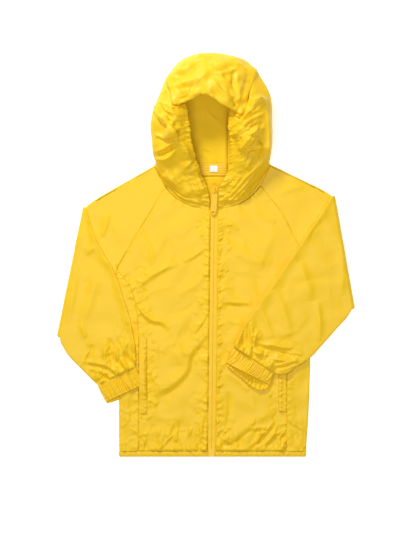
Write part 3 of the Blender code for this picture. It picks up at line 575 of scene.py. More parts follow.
band = []
for y, narrowing in zip(np.linspace(HEM_TOP, HEM_FOOT, BAND_ROWS),
                        np.linspace(0, 1, BAND_ROWS) ** 2):
    band.append(body_section(y, zip_middle(y) - ZIP_MARGIN, RIGHT_EDGE[-1] + narrowing,
                             LEFT_EDGE[-1] - narrowing, zip_middle(y) + ZIP_MARGIN,
                             BAND_SIDE_COLUMNS, BAND_UNDER_COLUMNS))
band = np.array(band)
edges = inset(band)
outward = normals(band)
roll = 1 - (2 * edges.first_row / edges.first_row[-1:] - 1) ** 2
on_top = band[..., 2] > 0.6 * LAYERS
ribs = puckers(edges.first_column, edges.first_row, edge_line(HEM_RUN), 1, 14, 1.0, 4.9, 51)
height = (0.45 * roll + ribs * roll + 0.3 + groove(edges.first_row, 0.5, 0.9)) * on_top
band[..., 1] += 1.2 * np.clip(1 - edges.first_row / 3, 0, 1) * on_top
hem = cloth("hem_band", "hem_binding", band + outward * height[..., None], BINDING)

# ---------------------------------------------------------------- sleeves
# One-piece raglan sleeves of the same nylon, folded over at the shoulder point and the elbow so
# that the forearm lies on the front. Elastic in the cuffs gathers their ends.

SHOULDER = {
    "right": [(-99.5, 156.0), (-122.0, 143.2), (-146.0, 129.4), (-170.0, 115.7),
              (-190.0, 104.3), (-205.0, 95.0)],
    "left": [(101.5, 157.0), (124.0, 146.4), (147.0, 135.5), (169.0, 124.8), (185.0, 117.2),
             (197.0, 110.5)],
}
# Over-arm x and y, under-arm x and y, and height, of sections from the underarm to the cuff.
UNDERARM = {
    "right": [(-205.0, 95.0, -164.6, -22.6, 0), (-210.5, 91.0, -167.8, -41.0, 0),
              (-215.5, 87.0, -212.0, -78.0, 0), (-219.0, 83.0, -264.8, -143.0, 0)],
    "left": [(197.0, 110.5, 169.8, -22.6, 0), (201.0, 108.0, 180.0, -32.0, 0),
             (205.5, 105.0, 208.0, -60.0, 0), (208.5, 102.5, 243.2, -94.0, 0)],
}
FOREARM = {
    "right": [(-219.0, 83.0, -264.8, -143.0, 6.3), (-211.5, 55.0, -263.0, -151.0, 6.3),
              (-200.4, 25.2, -254.0, -168.0, 6.2), (-185.5, -2.0, -243.5, -181.0, 6.0),
              (-171.0, -27.8, -234.0, -191.0, 5.8), (-152.8, -77.3, -223.0, -202.5, 5.5),
              (-140.5, -121.3, -212.5, -213.0, 5.2), (-134.5, -160.0, -204.5, -221.0, 4.9),
              (-132.8, -195.7, -198.2, -226.2, 4.8)],
    "left": [(208.5, 102.5, 243.2, -94.0, 6.3), (193.0, 78.0, 236.0, -106.5, 6.3),
             (168.0, 40.5, 221.0, -123.5, 6.3), (143.0, 4.0, 206.0, -140.5, 6.3),
             (117.0, -33.5, 190.0, -158.5, 6.3), (91.0, -71.0, 171.6, -178.3, 6.3),
             (64.0, -110.3, 149.0, -193.5, 6.3), (49.0, -139.0, 127.0, -206.5, 6.3),
             (38.3, -161.8, 108.9, -206.0, 6.0)],
}
FOLD_AXIS = LAYERS + 0.95
EDGE_COLUMNS, FRONT_COLUMNS, LOW_COLUMNS = 5, 46, 66
HEAD_ROWS, UNDERARM_ROWS, FOLD_ROWS, FOREARM_ROWS = 46, 30, 13, 165


def ring(thick=LAYERS, front=FRONT_COLUMNS, low=LOW_COLUMNS):
    """Round a flat sleeve, from its under-arm edge: share of the width, inset, and height."""
    quarter = np.radians(np.linspace(0, 90, EDGE_COLUMNS))
    rise = [(0, (1 - math.cos(a)) * thick / 2, 0.5 + 0.5 * math.sin(a)) for a in quarter]
    top = [(share, (1 - 2 * share) * thick / 2, 1.0) for share in np.linspace(0, 1, front)[1:-1]]
    turned = [(1, -inset_by, height) for _, inset_by, height in rise[::-1]]
    fall = [(1, -inset_by, 1 - height) for _, inset_by, height in rise[1:]]
    under = [(1 - share, (2 * share - 1) * thick / 2, 0.0)
             for share in np.linspace(0, 1, low)[1:-1]]
    back_up = [(0, inset_by, 1 - height) for _, inset_by, height in rise[::-1]]
    return np.array(rise + top + turned + fall + under + back_up)


def head_section(front, over, back):
    """The open sleeve head: top layer, over-arm edge, bottom layer, as a line of the ring."""
    front, over, back = np.array(front), np.array(over), np.array(back)
    inward = (front - over) / np.linalg.norm(front - over)
    line = []
    middle = EDGE_COLUMNS + FRONT_COLUMNS - 3
    last = middle + 2 * EDGE_COLUMNS - 2
    round_ring = ring()
    for number, (share, inset_by, height) in enumerate(round_ring):
        if number < middle:
            plan = mix(front, over + inward * ROUND, number / middle)
            line.append((*plan, LAYERS))
        elif number <= last:
            line.append((*(over - inward * inset_by), height * LAYERS))
        else:
            plan = mix(over + inward * ROUND, back, (number - last) / (len(round_ring) - 1 - last))
            line.append((*plan, 0))
    return np.array(line)


def tube_section(row, thick=LAYERS, rolled=None, shape=None):
    """A closed flat section of the sleeve: rolled about the fold, or laid at its height."""
    over, under, base = np.array(row[:2]), np.array(row[2:4]), row[4]
    width = np.linalg.norm(over - under)
    shape = ring(thick) if shape is None else shape
    share = shape[:, 0] + shape[:, 1] / width
    plan = under + (over - under) * share[:, None]
    height = shape[:, 2] * thick
    if rolled is None:
        z = base + thick - height if base else height
        return np.column_stack((plan, z))
    outward, turn = rolled
    radius = FOLD_AXIS - height
    plan = plan + outward * (radius * math.sin(turn))[:, None]
    return np.column_stack((plan, FOLD_AXIS - radius * math.cos(turn)))


def sleeve_grid(side):
    """One sleeve, from the neck over the fold to the cuff, and its rows before the forearm."""
    rows = [head_section(*points) for points in zip(even(FRONT_RAGLAN[side], HEAD_ROWS),
                                                    even(SHOULDER[side], HEAD_ROWS),
                                                    even(BACK_RAGLAN[side], HEAD_ROWS))]
    for row in even(UNDERARM[side], UNDERARM_ROWS)[1:-1]:
        rows.append(tube_section((*row[:4], 0)))
    fold = np.array(UNDERARM[side][-1])
    run = (fold[2:4] - fold[:2]) / np.linalg.norm(fold[2:4] - fold[:2])
    outward = SIGN[side] * np.array((-run[1], run[0]))
    for turn in np.radians(np.linspace(0, 180, FOLD_ROWS)):
        rows.append(tube_section(fold, rolled=(outward, turn)))
    laid = len(rows)
    for row in even(FOREARM[side], FOREARM_ROWS)[1:]:
        rows.append(tube_section(row))
    return np.array(rows), laid


SLEEVE_CREASES = {
    "right": [
        Crease([(-181, 71), (-185, 52), (-191, 31)], 0.9, 4, 6),
        Crease([(-203, 14), (-212, 8), (-219, 3)], 0.8, 4, 5),
        Crease([(-230, -117), (-224, -130), (-219, -144)], 0.9, 4, 5),
        Crease([(-209, -157), (-214, -176), (-219, -191)], -1.2, 4, 5),
        Crease([(-177, -144), (-177, -174), (-174, -200)], -1.0, 4, 3),
        Crease([(-186, -150), (-187, -175), (-184, -197)], 1.0, 4, 3),
        Crease([(-165, -157), (-165, -177), (-163, -198)], 1.2, 3.5, 3),
        Crease([(-145, -148), (-153, -165), (-158, -177)], 1.1, 3, 3.5),
        Crease([(-136, -136), (-137, -157), (-134, -193)], 1.0, 3, 3),
        Crease([(-227, -185), (-209, -187), (-190, -191), (-176, -197), (-163, -209)], 1.3, 4, 2.8),
        Crease([(-226, -191), (-209, -193), (-192, -197), (-178, -203), (-166, -214)], -0.9, 3, 3),
        Crease([(-216, -199), (-200, -201), (-184, -209), (-174, -218)], 1.1, 3, 2.6),
        Crease([(-198, -218), (-184, -215), (-177, -221)], -0.7, 3, 3),
        Crease([(-158, -181), (-154, -193), (-151, -202)], 1.0, 3, 2.6),
        Crease([(-150, -172), (-146, -188), (-143, -200)], -0.8, 2.6, 2.6),
        Crease([(-200, -40), (-215, -90), (-226, -120)], 0.8, 8, 12),
        Crease([(-235, -20), (-242, -70), (-250, -120)], 0.6, 6, 8),
    ],
    "left": [
        Crease([(63, -106), (52, -134), (43, -158)], 1.0, 3, 3.5),
        Crease([(57, -124), (54, -140), (55, -157), (57, -170)], -1.2, 2.6, 2.8),
        Crease([(64, -113), (64, -134), (62, -157), (62, -173)], -1.3, 2.8, 2.6),
        Crease([(68, -118), (68, -140), (67, -157), (66, -175)], 1.0, 2.8, 2.6),
        Crease([(71, -143), (71, -160), (75, -179)], -1.1, 2.6, 2.6),
        Crease([(72, -141), (78, -147), (85, -151)], -0.9, 2.6, 2.6),
        Crease([(80, -158), (90, -163), (105, -164), (120, -169)], -1.3, 2.8, 3),
        Crease([(78, -151), (90, -156), (106, -157), (122, -161), (140, -163)], 1.4, 4.5, 2.8),
        Crease([(100, -167), (117, -171), (132, -172), (148, -177)], -1.2, 3.5, 4.5),
        Crease([(92, -177), (111, -182), (130, -184), (150, -183)], 1.2, 3.2, 3),
        Crease([(106, -194), (128, -189), (150, -184)], 1.2, 2.6, 2.6),
        Crease([(108, -199), (130, -193), (150, -187)], -1.0, 2.2, 2.6),
        Crease([(113, -203), (132, -197), (150, -190)], 0.9, 2.4, 2.4),
        Crease([(87, -190), (92, -177), (96, -165)], 1.0, 2.8, 2.6),
        Crease([(97, -195), (103, -184), (110, -179)], -0.8, 2.4, 2.6),
        Crease([(113, 103), (132, 113), (158, 120)], 0.6, 6, 6),
        Crease([(153, -12), (166, -52), (174, -78)], 0.9, 8, 11),
        Crease([(184, -80), (188, -130), (186, -150)], 0.9, 5, 8),
        Crease([(110, -60), (126, -100), (136, -140)], 0.9, 8, 10),
        Crease([(84, -90), (96, -120), (104, -146)], 0.8, 5, 7),
        Crease([(225, 20), (228, -30), (226, -70)], 0.6, 6, 8),
    ],
}
SLEEVE_FIELDS = {
    "right": [
        Strewn(-220, -140, -222, -150, 40, 26, 75, 0.5, 1.2, 2.0),
        Strewn(-170, -140, -200, -110, 22, 18, 100, 0.5, 1.0, 1.8),
        Strewn(-240, -120, -120, 100, 12, 60, 60, 0.8, 0.8, 5.0),
    ],
    "left": [
        Strewn(48, 90, -180, -110, 30, 26, 85, 0.4, 1.2, 2.0),
        Strewn(80, 150, -205, -150, 34, 30, 165, 0.45, 1.2, 2.0),
        Strewn(90, 230, -140, 120, 14, 60, 120, 0.8, 0.8, 5.0),
    ],
}
sleeves = {}
for side in ("right", "left"):
    grid, laid = sleeve_grid(side)
    # The forearm's upper layer stands off the one underneath, beside the over-arm edge.
    over_points = even(FOREARM[side], FOREARM_ROWS)[1:, :2]
    from_over = np.linalg.norm(grid[laid:, :, :2] - over_points[:, None], axis=-1)
    step = np.arange(len(over_points))
    puffed = np.clip(np.minimum(step / 12, (len(step) - step) / 30), 0, 1)[:, None]
    raised = 1 - ring()[:, 2]
    grid[laid:, :, 2] += puffed * (4.2 * raised - 1.2) * np.exp(-(from_over / 14) ** 2)
    sign = SIGN[side]
    mirrored = side == "left"
    outward = normals(grid, mirrored)
    x, y = grid[..., 0], grid[..., 1]
    edges = inset(grid)
    up = np.clip(outward[..., 2] * 1.3, 0, 1)
    seen = up * np.clip(grid[..., 2] / ROUND - 1, 0, 1)
    cuff_ends = [FOREARM[side][-1][:2], FOREARM[side][-1][2:4]]
    over_edge = [row[:2] for row in FOREARM[side]]
    height = 0.5 * billow(x, y, 80, 61 + sign) + 0.5 * crumpled(x, y, 38, 64 + sign)
    height += 3.0 * crumpled(x, y, 16, 87 + sign) * np.exp(-(edges.last_row / 30) ** 2)
    height += 3.0 * creased(x, y, SLEEVE_CREASES[side])
    height += 1.5 * strewn(x, y, SLEEVE_FIELDS[side], 77 + sign)
    height += puckers(x, y, cuff_ends, sign, 32, 3.2, 7.5, 67 + sign)
    height += puckers(x, y, cuff_ends, sign, 14, 2.6, 4.4, 71 + sign)
    height += puckers(x, y, over_edge, sign, 10, 0.7, 14, 74 + sign)
    height *= seen
    fold_column = 2 * EDGE_COLUMNS + FRONT_COLUMNS - 4
    from_fold = np.abs(edges.first_column - edges.first_column[:, [fold_column]])
    head = slice(HEAD_ROWS)
    height[head] *= np.clip(from_fold[head] / 9 - 0.3, 0, 1)
    height[head] *= np.clip(edges.first_column[head] / 2, 0, 1)
    height[head] += groove(edges.first_column[head], 0.25) * seen[head]
    height *= np.clip(edges.last_row / 3, 0.4, 1) * np.clip(edges.first_row / 2, 0, 1)
    height -= 0.8 * np.exp(-(edges.last_row / 1.8) ** 2)
    grid = grid + outward * height[..., None]
    sleeves[side] = grid
    sleeve = cloth("sleeve_" + side + "_tube", "sleeve_" + side, grid, SHELL, turn_over=mirrored)
    "front_" + side + "_panel"

# ---------------------------------------------------------------- cuffs
# A folded strip of the nylon over elastic, gathered into about twenty uneven ribs a side and
# sewn to the sleeve's end. The layer underneath reaches a little further at the mouth.

CUFFS = {
    "right": ((-132.8, -195.7), (-198.2, -226.2), (-119.0, -225.1), (-184.4, -255.6), 4.9),
    "left": ((38.3, -161.8), (108.9, -206.0), (25.5, -188.0), (99.5, -225.5), 6.0),
}
CUFF_LAYERS = 3.2
TUCK = -0.06                  # share of a cuff's depth that lies inside the sleeve's end
LIP_PLACES = (0, 0.12, 0.3, 0.6, 1)
# How far the layer underneath reaches past the upper one, and how far the mouth stands open.
LIPS = {"right": (3, 5, 6, 5, 3), "left": (9, 17, 17, 11, 4)}
MOUTH = {"right": 1.2, "left": 8.5}
for side in ("right", "left"):
    seam_over, seam_under, mouth_over, mouth_under, base = CUFFS[side]
    sign = SIGN[side]
    axis = np.array(mouth_over) - np.array(seam_over)
    axis = axis / np.linalg.norm(axis)
    shape = ring(CUFF_LAYERS, 112, 112)
    lip = np.interp(shape[:, 0], LIP_PLACES, LIPS[side])
    gape = MOUTH[side] * np.sin(math.pi * np.clip(shape[:, 0], 0, 1) ** 1.4)
    rows = []
    for share in np.linspace(TUCK, 1, 27):
        ends = (*mix(seam_over, mouth_over, share), *mix(seam_under, mouth_under, share), base)
        line = tube_section(ends, CUFF_LAYERS, shape=shape)
        depth = 1 - (line[:, 2] - base) / CUFF_LAYERS
        opened = max(share, 0) ** 2
        line[:, :2] += axis * (lip * max(share, 0) * depth)[:, None]
        line[:, 2] += opened * (gape * (1 - depth) + 0.45 * MOUTH[side] * depth)
        rows.append(line)
    grid = np.array(rows)
    edges = inset(grid)
    outward = normals(grid, side == "left")
    along_rib, around = edges.first_row, edges.first_column
    random = np.random.default_rng(81 + sign)
    height = np.zeros_like(around)
    place = 1.0
    while place < around[0, -1]:
        lean = random.normal(0, 1.6)
        wide = random.uniform(1.0, 1.6)
        centre = place + lean * (along_rib / 30 - 0.5)
        height += random.uniform(0.7, 1.25) * np.exp(-((around - centre) / wide) ** 2)
        place += random.uniform(2.6, 4.1)
    down = along_rib / along_rib[-1:]
    height = (height * 2.2 - 1.0) * np.clip(4.6 * down * (1.08 - down), 0.25, 1)
    height += 0.7 * np.sin(np.pi * np.clip(down, 0, 1)) ** 0.7
    for dip in (0.30, 0.62, 0.9):
        height -= 0.35 * np.exp(-((down - dip) / 0.035) ** 2)
    grid = grid + outward * height[..., None]
    cuff = cloth("cuff_" + side + "_band", "cuff_" + side, grid, BINDING,
                 turn_over=side == "left")
    "front_" + side + "_panel"

# ---------------------------------------------------------------- pocket welts
# A folded strip in each side seam, closed along its inner edge by a row of stitches that puckers
# it. The wearer's right one is lifted by the cuff tucked under it.

WELTS = {
    "right": [(-276.0, 0.0), (-262.0, 0.0), (-248.0, 0.8), (-236.0, 3.2), (-226.0, 3.6),
              (-210.0, 3.6), (-196.0, 3.6), (-184.0, 3.2), (-170.0, 0.8), (-156.0, 0.0),
              (-142.3, 0.0)],
    "left": [(-272.3, 0.0), (-228.0, 0.0), (-184.0, 0.0), (-141.0, 0.0)],
}
WELT_SEAM = {"right": -127.4, "left": 130.2}
WELT_WIDTH = 14.3
for side in ("right", "left"):
    sign = SIGN[side]
    rows = []
    for y, lift in even(WELTS[side], 110):
        line = []
        for share in np.linspace(0, 1, 15):
            felt = np.interp(share, (0, 0.6, 1), (1, 1, 0))
            edge = 0.9 * (1 - (2 * share - 1) ** 8) - 0.9
            line.append((WELT_SEAM[side] - sign * WELT_WIDTH * share, y,
                         LAYERS + 1.5 + lift * felt + edge))
        rows.append(line)
    grid = np.array(rows)
    x, y = grid[..., 0], grid[..., 1]
    inner = WELT_SEAM[side] - sign * (WELT_WIDTH - 2.4)
    stitched = [(inner, v) for v in range(-274, -142, 6)]
    height = puckers(x, y, stitched, -sign, 9, 1.9, 5.5, 91 + sign)
    height += puckers(x, y, stitched, sign, 4, 1.4, 5.5, 94 + sign)
    height += groove(np.abs(x - inner), 0.9, 1.0) + 0.15 * billow(x, y, 30, 97 + sign)
    grid[..., 2] += height
    welt = cloth("welt_" + side, "pocket_welt_" + side, grid, BINDING,
                 turn_over=side == "left")
    "front_" + side + "_panel"

# ---------------------------------------------------------------- hood
# Three panels of the nylon: two sides and a centre from the brow to the neck. The face edge is
# turned in over elastic, which gathers it, and the hood stands open above the neck.

Station = namedtuple("Station", "edge crest shoulder side foot")
HOOD = {
    "right": [
        Station((-46, 264, 50), (-65, 261, 64), (-73, 284, 53), (-80, 304, 24), (-43, 256)),
        Station((-41, 246, 49), (-69, 245, 66), (-87, 255, 54), (-98, 262, 26), (-43, 240)),
        Station((-39, 225, 47), (-66, 223, 65), (-91, 226, 53), (-105, 227, 27), (-43, 222)),
        Station((-37, 205, 43), (-60, 205, 60), (-88, 203, 49), (-105, 203, 26), (-43, 204)),
        Station((-33, 183, 36), (-50, 187, 50), (-81, 181, 42), (-103, 181, 23), (-43, 187)),
        Station((-27, 162, 27), (-37, 163, 36), (-74, 160, 34), (-99, 167, 18), (-43, 172)),
        Station((-17, 139, 20), (-26, 139, 25), (-68, 139, 26), (-97, 161, 13), (-43, 159)),
        Station((-8, 114, 14), (-22, 115, 17), (-63, 121, 18), (-98, 158, 9), (-43, 147)),
        Station((-4.0, 96, 8), (-24, 98, 10), (-60, 110, 11), (-99, 156.5, 5), (-43, 140)),
    ],
    "left": [
        Station((31, 258, 50), (50.5, 244, 62), (65, 281, 54), (78.5, 321, 24), (27, 256)),
        Station((29.6, 240, 48), (54, 232, 64), (80, 260, 54), (97, 286, 26), (27, 240)),
        Station((29.6, 222, 46), (57, 216, 64), (88, 233, 53), (103, 252, 27), (27, 222)),
        Station((30, 204, 42), (57, 202, 60), (88, 208, 49), (104, 218, 26), (27, 204)),
        Station((30.4, 184, 35), (53, 187, 50), (83, 186, 42), (103.5, 190, 23), (27, 187)),
        Station((29.6, 161, 27), (45, 164, 37), (77, 164, 34), (101, 171, 18), (27, 172)),
        Station((24, 139, 20), (34, 141, 25), (69, 141, 26), (98.5, 163, 13), (27, 159)),
        Station((13, 115, 14), (27, 117, 17), (64, 121, 18), (99.5, 159.5, 9), (27, 147)),
        Station((11.4, 96, 8), (31, 98, 10), (61, 110, 11), (100.5, 157.5, 5), (27, 140)),
    ],
}
CONTACT_SHARE = 0.3
SIDE_KEYS = (0, 2, 6, 11, 14, 18)
CENTRE_LINES = [
    ((-36, 279, 58), (-13, 291, 62), (13, 277, 60)),
    ((-40, 270, 68), (-14, 280.5, 73), (17, 264, 70)),
    ((-44, 306, 65), (-5, 324, 67), (33, 306, 66)),
    ((-52, 341, 26), (0, 352, 28), (50, 342, 26)),
    ((-44, 322, 0), (-2, 333, 0), (42, 323, 0)),
    ((-25, 256, 0), (-8, 256, 0), (10, 256, 0)),
    ((-25, NECK_BACK, 0), (-8, NECK_BACK, 0), (10, NECK_BACK, 0)),
]
HOOD_PLACES = np.concatenate((np.linspace(0, 2, 18)[:-1], np.linspace(2, 6, 26)[:-1],
                              np.linspace(6, 11, 30)[:-1], np.linspace(11, 14, 10)[:-1],
                              np.linspace(14, 18, 12)))
SIDE_HEM, CENTRE_HEM = 17, 16         # depth of the face edge's hem
FACE_RUN, CROWN_RUN, CENTRE_RUN, SEAM_RUN = 400, 400, 200, 160    # lengths that are gathered


def hood_neck(side):
    """The hood's neck edge: front neck seam, round the sleeve head, back neck."""
    front, over = np.array(FRONT_RAGLAN[side][0]), np.array(SHOULDER[side][0])
    back = np.array(BACK_RAGLAN[side][0])
    inward = (front - over) / np.linalg.norm(front - over)
    line = [(*point, LAYERS) for point in FRONT_NECK[side][:-1]]
    line += [(*mix(front, over, share), LAYERS) for share in (0.0, 0.12, 0.3, 0.6)]
    for radii, share in ((1.0, 1.0), (0.3, 0.85), (0.0, 0.5), (0.3, 0.15), (1.0, 0.0)):
        line.append((*(over + inward * radii * ROUND), share * LAYERS))
    line += [(*mix(back, over, share), 0) for share in (0.6, 0.3, 0.12, 0.0)]
    line.append((HOOD[side][0].foot[0], NECK_BACK, 0))
    line = np.array(line)
    return np.array([np.interp(HOOD_PLACES, range(len(line)), c) for c in line.T]).T


def hood_side(side, rows):
    """A side panel: C-shaped from the face edge, over the outside, to the seam underneath."""
    sections = []
    for station in HOOD[side]:
        foot = (*station.foot, 0)
        contact = mix(station.side, foot, CONTACT_SHARE)
        contact[2] = 0
        keys = (station.edge, station.crest, station.shoulder, station.side, contact, foot)
        sections.append(spline(SIDE_KEYS, keys, HOOD_PLACES))
    sections.append(hood_neck(side))
    flat = np.array(sections).reshape(len(sections), -1)
    grid = spline(range(len(flat)), flat, np.linspace(0, len(flat) - 1, rows))
    grid = grid.reshape(rows, -1, 3)
    grid[:, :, 2] = np.maximum(grid[:, :, 2], 0)
    return grid


def hood_centre(right, left, columns):
    """The centre panel, a ribbon whose long edges are the side panels' seams."""
    seams = [np.vstack((grid[0], grid[1:, -1])) for grid in (right, left)]
    places = np.concatenate((HOOD_PLACES, np.linspace(18, 36, len(right))[1:]))
    keys = (*SIDE_KEYS, 36)
    lines = [spline(keys, [row[line] for row in CENTRE_LINES], places) for line in range(3)]
    rows = []
    for points in zip(seams[0], *lines, seams[1]):
        rows.append(spline(range(5), points, np.linspace(0, 4, columns)))
    grid = np.array(rows)
    grid[:, :, 2] = np.maximum(grid[:, :, 2], 0)
    return grid


HOOD_CREASES = {
    "right": [
        Crease([(-96, 264), (-86, 240), (-72, 224), (-60, 206)], 3.2, 3.2, 16),
        Crease([(-93, 258), (-78, 246), (-68, 237)], -1.2, 2.4, 2.6),
        Crease([(-89, 250), (-76, 239), (-65, 231)], 1.1, 2.4, 2.4),
        Crease([(-85, 240), (-74, 230), (-64, 220)], -1.0, 2.2, 2.4),
        Crease([(-95, 270), (-82, 263), (-67, 255)], 1.0, 2.4, 3),
        Crease([(-98, 248), (-93, 232), (-84, 218)], -1.4, 4, 4),
        Crease([(-98, 204), (-82, 197), (-62, 204)], -1.6, 4, 3),
        Crease([(-60, 200), (-78, 189), (-98, 180)], 1.8, 5, 3.5),
        Crease([(-64, 190), (-78, 179), (-96, 171)], -1.6, 3, 7),
        Crease([(-70, 246), (-80, 226), (-90, 206)], -3.4, 5, 12),
        Crease([(-98, 167), (-80, 169), (-69, 177), (-60, 186)], 1.3, 3, 3),
        Crease([(-61, 199), (-50, 190), (-44, 180), (-42, 168)], 1.2, 3, 3),
        Crease([(-33, 167), (-42, 157), (-50, 147)], 1.1, 2.6, 2.4),
        Crease([(-30, 164), (-39, 154), (-48, 143)], -1.1, 2.4, 2.6),
        Crease([(-27, 146), (-20, 129), (-14, 113)], 0.8, 2, 3),
        Crease([(-34, 140), (-27, 121), (-20, 104)], 0.8, 2.4, 3),
        Crease([(-42, 142), (-36, 122), (-28, 106)], 0.7, 2.6, 3),
        Crease([(-66, 148), (-54, 125), (-38, 106)], 0.9, 5, 6),
        Crease([(-88, 158), (-74, 136), (-54, 114)], 0.8, 5, 5),
        Crease([(-60, 300), (-75, 290), (-88, 280)], 1.0, 4, 5),
    ],
    "left": [
        Crease([(41, 251), (46, 263)], 1.0, 2.0, 2.0),
        Crease([(43, 246), (52, 262)], -1.0, 1.9, 2.0),
        Crease([(46, 241), (56, 260)], 1.1, 2.0, 2.0),
        Crease([(46, 235), (54, 247), (61, 258)], -1.0, 1.9, 2.0),
        Crease([(48, 228), (57, 241), (65, 252)], 1.1, 2.2, 2.2),
        Crease([(54, 231), (61, 238), (70, 242), (78, 247)], -1.2, 2.2, 2.4),
        Crease([(55, 225), (63, 233), (73, 237)], 1.1, 2.2, 2.2),
        Crease([(57, 220), (64, 229), (75, 233)], -1.0, 2.0, 2.2),
        Crease([(61, 214), (67, 222), (77, 227), (84, 227)], -1.2, 2.0, 2.2),
        Crease([(62, 217), (68, 226), (78, 231)], 1.0, 2.0, 2.0),
        Crease([(64, 209), (73, 215), (83, 220), (90, 220)], 1.3, 2.6, 2.4),
        Crease([(67, 194), (73, 203), (79, 206)], 1.0, 2.4, 2.4),
        Crease([(50, 177), (59, 189), (70, 192)], 1.1, 2.4, 2.2),
        Crease([(54, 175), (62, 186), (73, 189)], -0.9, 2.0, 2.2),
        Crease([(57, 172), (64, 182), (74, 186)], 1.0, 2.2, 2.2),
        Crease([(62, 169), (70, 178), (77, 181)], -0.9, 2.0, 2.2),
        Crease([(62, 264), (78, 271), (97, 268)], 2.8, 4, 15),
        Crease([(70, 186), (84, 191), (98, 188)], 2.4, 4, 15),
        Crease([(92, 270), (96, 238), (98, 209), (95, 183), (87, 164), (77, 148)], 1.5, 4, 4),
        Crease([(82, 214), (87, 191), (85, 171)], -1.4, 4, 4),
        Crease([(22, 95), (41, 114), (58, 134), (74, 151), (84, 162)], 1.1, 1.7, 1.8),
        Crease([(27, 91), (45, 109), (61, 126), (78, 146)], 1.1, 1.7, 1.8),
        Crease([(33, 89), (50, 106), (67, 124)], 0.9, 1.7, 1.8),
        Crease([(18, 97), (28, 105)], 0.9, 1.8, 1.8),
        Crease([(22, 126), (32, 135)], 0.9, 2, 2),
        Crease([(17, 117), (27, 126), (35, 130)], 0.9, 2, 2),
        Crease([(33, 115), (45, 130), (50, 137)], 0.8, 2.4, 2.4),
        Crease([(60, 150), (66, 166), (80, 176)], 1.0, 4, 5),
    ],
    "centre": [
        Crease([(-19, 345), (-25, 334), (-31, 323)], -1.4, 2.4, 3),
        Crease([(-65, 313), (-50, 314), (-37, 323), (-27, 335)], -1.5, 2.6, 3),
        Crease([(-62, 320), (-48, 321), (-36, 330)], 1.1, 3, 3),
        Crease([(-61, 294), (-45, 300), (-28, 305)], 1.3, 3.5, 3),
        Crease([(-62, 284), (-49, 291), (-33, 291)], -1.2, 3, 3),
        Crease([(5, 316), (23, 318), (37, 322), (45, 328)], 1.4, 3, 3),
        Crease([(8, 322), (24, 325), (40, 332)], -1.0, 3, 3),
        Crease([(39, 322), (37, 301), (39, 284)], -1.4, 2.4, 3),
        Crease([(44, 318), (43, 301), (45, 286)], 1.2, 2.6, 2.6),
        Crease([(-1, 309), (12, 290), (26, 277), (39, 261)], 1.5, 3, 3.5),
        Crease([(18, 313), (31, 307)], -1.1, 2.6, 2.6),
        Crease([(27, 288), (35, 277), (44, 261)], -1.1, 2.4, 2.6),
        Crease([(9, 301), (21, 285), (33, 272)], -1.2, 2.4, 2.6),
        Crease([(-59, 272), (-50, 273), (-41, 277)], -1.0, 2.4, 2.6),
        Crease([(-38, 276), (-30, 282), (-19, 284)], 1.0, 2.4, 2.6),
        Crease([(51, 301), (46, 284), (46, 268)], 1.1, 2.4, 2.6),
        Crease([(59, 304), (55, 287), (52, 275)], -1.1, 2.4, 2.6),
        Crease([(37, 335), (49, 331), (61, 322)], 1.1, 3, 3),
        Crease([(-44, 335), (-30, 318), (-24, 300)], 1.0, 4, 4),
    ],
}
INSIDE_CREASES = [
    Crease([(-14, 258), (-5, 245), (14, 230), (24, 216)], 1.2, 3, 3),
    Crease([(-32, 211), (-27, 196), (-14, 186), (-1, 180), (7, 167), (12, 160)], 1.2, 3, 3),
    Crease([(22, 261), (22, 218), (22, 148)], 1.2, 2.4, 3),
    Crease([(-30, 183), (-17, 172), (-10, 158)], 1.0, 3, 3),
    Crease([(-12, 209), (0, 200), (10, 204)], 0.8, 3, 3),
]
ALL_CREASES = HOOD_CREASES["right"] + HOOD_CREASES["left"] + HOOD_CREASES["centre"]
HOOD_FIELDS = [
    Strewn(-96, -77, 240, 266, 14, 18, -48, 0.2, 1.8, 1.7),
    Strewn(-84, -64, 226, 250, 14, 18, -48, 0.2, 1.8, 1.7),
    Strewn(-70, -54, 206, 232, 14, 16, -52, 0.2, 1.7, 1.7),
    Strewn(-90, -42, 120, 190, 22, 22, 60, 0.5, 1.0, 2.0),
    Strewn(36, 84, 195, 282, 60, 24, 38, 0.2, 2.5, 1.9),
    Strewn(42, 76, 160, 200, 18, 16, 38, 0.4, 1.3, 1.7),
    Strewn(22, 84, 96, 165, 26, 30, 50, 0.15, 0.8, 1.7),
    Strewn(-72, -20, 285, 345, 30, 24, -135, 0.5, 1.6, 2.0),
    Strewn(-20, 82, 262, 345, 40, 24, -50, 0.8, 1.6, 2.0),
    Strewn(-60, 45, 268, 290, 26, 13, 80, 0.35, 1.3, 1.8),
]
hood_sides = {side: hood_side(side, 150) for side in ("right", "left")}
centre_grid = hood_centre(hood_sides["right"], hood_sides["left"], 58)
